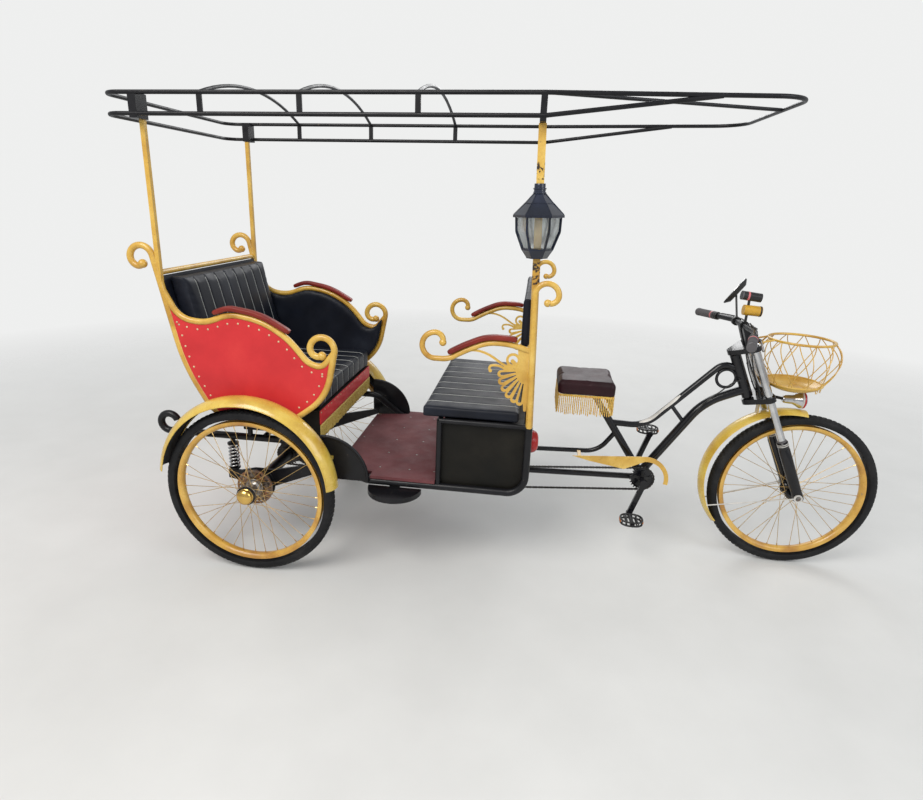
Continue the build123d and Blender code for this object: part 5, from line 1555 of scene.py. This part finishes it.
CAGE_STEPS = 48
for name, body in (("pedal_right", "right_pedal"), ("pedal_left", "left_pedal")):
    low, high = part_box(name)
    centre = (low + high) / 2
    half = (high - low) / 2 / MM
    cage = Shape()
    for level in (-1, 1):
        lift = level * (half.z - 4.2)
        around = []
        for k in range(CAGE_STEPS):
            c, s = arc(1, 360 * k / CAGE_STEPS)
            x = squared(c, 0.8) * (half.x - 4.5)
            y = squared(s, 0.8) * (half.y - 4.5)
            around.append(centre + step(x, y, lift))
        cage.tube(around, 4, closed=True)
        for place in around[::4]:
            cage.tube([place, place - step(0, 0, lift)], 2.6, 6)
            pin = [(0.3, level * 4.1), (1.7, level * 4), (1.9, level * 0.2)]
            cage.lathe(pin, place, 8, axis="Z")
        for share in (-0.42, 0.42):
            reach = (half.y - 6) * math.sqrt(1 - share * share)
            cage.tube([centre + step(share * half.x, end * reach, lift) for end in (-1, 1)], 3.4)
    y = half.y
    cage.lathe(mirrored([(8, y * 0.4), (10.5, y - 8), (9.5, y - 3), (5.4, y - 3)]), centre, 24, closed=True)
    cage.build(name + "_cage", black_plastic, body, angle=45, node=name, slot="black_plastic")
    reflectors = Shape()
    for end in (-1, 1):
        face = centre + step(end * (half.x - 3.2), 0, 0)
        reflectors.block(face - step(2.2, 17, 5), face + step(2.2, 17, 5))
    reflectors.build(name + "_reflectors", amber_plastic, body, bevel=0.8)

# Beads on the fenders' edges


def fender_beads(name, body, eye, radius, edges, start, sweep, steps, wire):
    shape = Shape()
    for y in edges:
        points = []
        for k in range(steps + 1):
            x, z = arc(radius, start + sweep * k / steps)
            points.append(at(eye[0] + x, y, eye[1] + z))
        shape.tube(points, wire)
    shape.build(name, gold_fender, body, angle=60)


REAR_EDGES = (-412.6, -507.4, 412.6, 507.4)
FRONT_EDGES = (-38.6, 38.6)
fender_beads(
    "rear_fender_beads", "chassis", REAR_FENDER_EYE, 326, REAR_EDGES,
    start=3.2, sweep=169.6, steps=60, wire=2.4,
)
fender_beads(
    "front_fender_beads", "steering", FRONT_FENDER_EYE, 302, FRONT_EDGES,
    start=80.2, sweep=140.6, steps=50, wire=2.2,
)

# Chainring: arms and bolts on the face of the disc

ARMS = 5
ARM_WIDTHS = ((10, 8), (26, 5), (36, 6.5))
CRANK_MIDDLE = at(1537, -63.2, 353)
arms = Shape()
for number in range(ARMS):
    c, s = arc(1, 360 * number / ARMS + math.degrees(0.3))
    outward = Vector((c, 0, s))
    upward = Vector((-s, 0, c))
    outline = [CRANK_MIDDLE + (outward * d + upward * w) * MM for d, w in ARM_WIDTHS]
    outline += [CRANK_MIDDLE + (outward * d - upward * w) * MM for d, w in reversed(ARM_WIDTHS)]
    arms.plate(outline, -2.2)
    bolt = CRANK_MIDDLE + outward * 33 * MM - step(0, 2.2, 0)
    arms.sleeve(bolt, -ACROSS, [(0, 4.6), (1.6, 4.4), (1.9, 2.4), (0.8, 2.2), (0.8, 0.3)], 12)
arms.build("chainring_arms", black_plastic, "cranks", angle=30)

# The floor, the light and the camera

FLOOR_SPOKES = 96
FLOOR_RADII = [0.02, 0.8, 1.6, 2.4, 3.2, 4.0, 5.0, 6.5, 9.0, 14.0]


def lamp(name, place, target, power, colour=(1, 1, 1)):
    light = bpy.data.lights.new(name, "AREA")
    light.size = 3.0
    light.energy = power
    light.color = colour
    obj = new_object(name, light)
    obj.location = place
    obj.rotation_euler = (Vector(target) - Vector(place)).to_track_quat("-Z", "Y").to_euler()


def fading_floor():
    """A pale floor that fades into a near-white surround."""
    count = FLOOR_SPOKES
    verts = [(*arc(r, 360 * k / count), 0) for r in FLOOR_RADII for k in range(count)]
    faces = [tuple(range(count))]
    for i in range(len(FLOOR_RADII) - 1):
        for k in range(count):
            m = (k + 1) % count
            faces.append((i * count + k, i * count + m, (i + 1) * count + m, (i + 1) * count + k))
    mesh = bpy.data.meshes.new("floor")
    mesh.from_pydata(verts, [], faces)
    paint = Paint("floor_finish", roughness=0.8, specular=0.2)
    stops = [(0.3, (0.66, 0.66, 0.645)), (0.7, (0.70, 0.70, 0.685))]
    paint.feed("Base Color", paint.ramp(paint.noise(3, 5), stops))
    distance = paint.nodes.new("ShaderNodeVectorMath")
    distance.operation = "LENGTH"
    clear = paint.nodes.new("ShaderNodeBsdfTransparent")
    blend = paint.nodes.new("ShaderNodeMixShader")
    paint.links.new(paint.coordinates, distance.inputs[0])
    paint.links.new(paint.band(distance.outputs["Value"], 2.2, 6.0), blend.inputs["Fac"])
    paint.links.new(paint.shader.outputs["BSDF"], blend.inputs[1])
    paint.links.new(clear.outputs["BSDF"], blend.inputs[2])
    paint.links.new(blend.outputs["Shader"], paint.nodes["Material Output"].inputs["Surface"])
    mesh.materials.append(paint.material)
    new_object("floor", mesh)


def studio_world():
    """A soft surround that the camera sees near-white."""
    world = bpy.data.worlds.new("studio")
    bpy.context.scene.world = world
    world.use_nodes = True
    nodes = world.node_tree.nodes
    links = world.node_tree.links
    soft = nodes["Background"]
    seen = nodes.new("ShaderNodeBackground")
    set_inputs(soft, {"Color": (0.84, 0.86, 0.88, 1), "Strength": 0.62})
    set_inputs(seen, {"Color": (0.86, 0.865, 0.86, 1), "Strength": 1.0})
    path = nodes.new("ShaderNodeLightPath")
    choose = nodes.new("ShaderNodeMixShader")
    links.new(path.outputs["Is Camera Ray"], choose.inputs["Fac"])
    links.new(soft.outputs["Background"], choose.inputs[1])
    links.new(seen.outputs["Background"], choose.inputs[2])
    links.new(choose.outputs["Shader"], nodes["World Output"].inputs["Surface"])


def camera():
    data = bpy.data.cameras.new("camera")
    data.lens = 23.70
    data.sensor_width = 36
    data.clip_end = 200
    obj = new_object("camera", data)
    right = Vector((0.99143725, 0.12433616, 0.03990866))
    up = Vector((-0.0763564, 0.3040613, 0.9495875))
    back = Vector((0.10593339, -0.9445037, 0.31095156))
    turn = Matrix((right, up, back)).transposed()
    obj.matrix_world = Matrix.Translation((rear_axle_x + 1.03002, -2.47157, 1.43299)) @ turn.to_4x4()
    bpy.context.scene.camera = obj


fading_floor()
studio_world()
lamp("key", (-2.0, -3.6, 4.4), (0, 0, 0.7), 200, (1.0, 0.97, 0.93))
lamp("fill", (4.2, -3.0, 3.0), (0.2, 0, 0.7), 80, (0.93, 0.96, 1.0))
lamp("back", (0.5, 4.5, 3.8), (0, 0, 0.9), 90)
camera()
bpy.context.scene.view_settings.view_transform = "Standard"
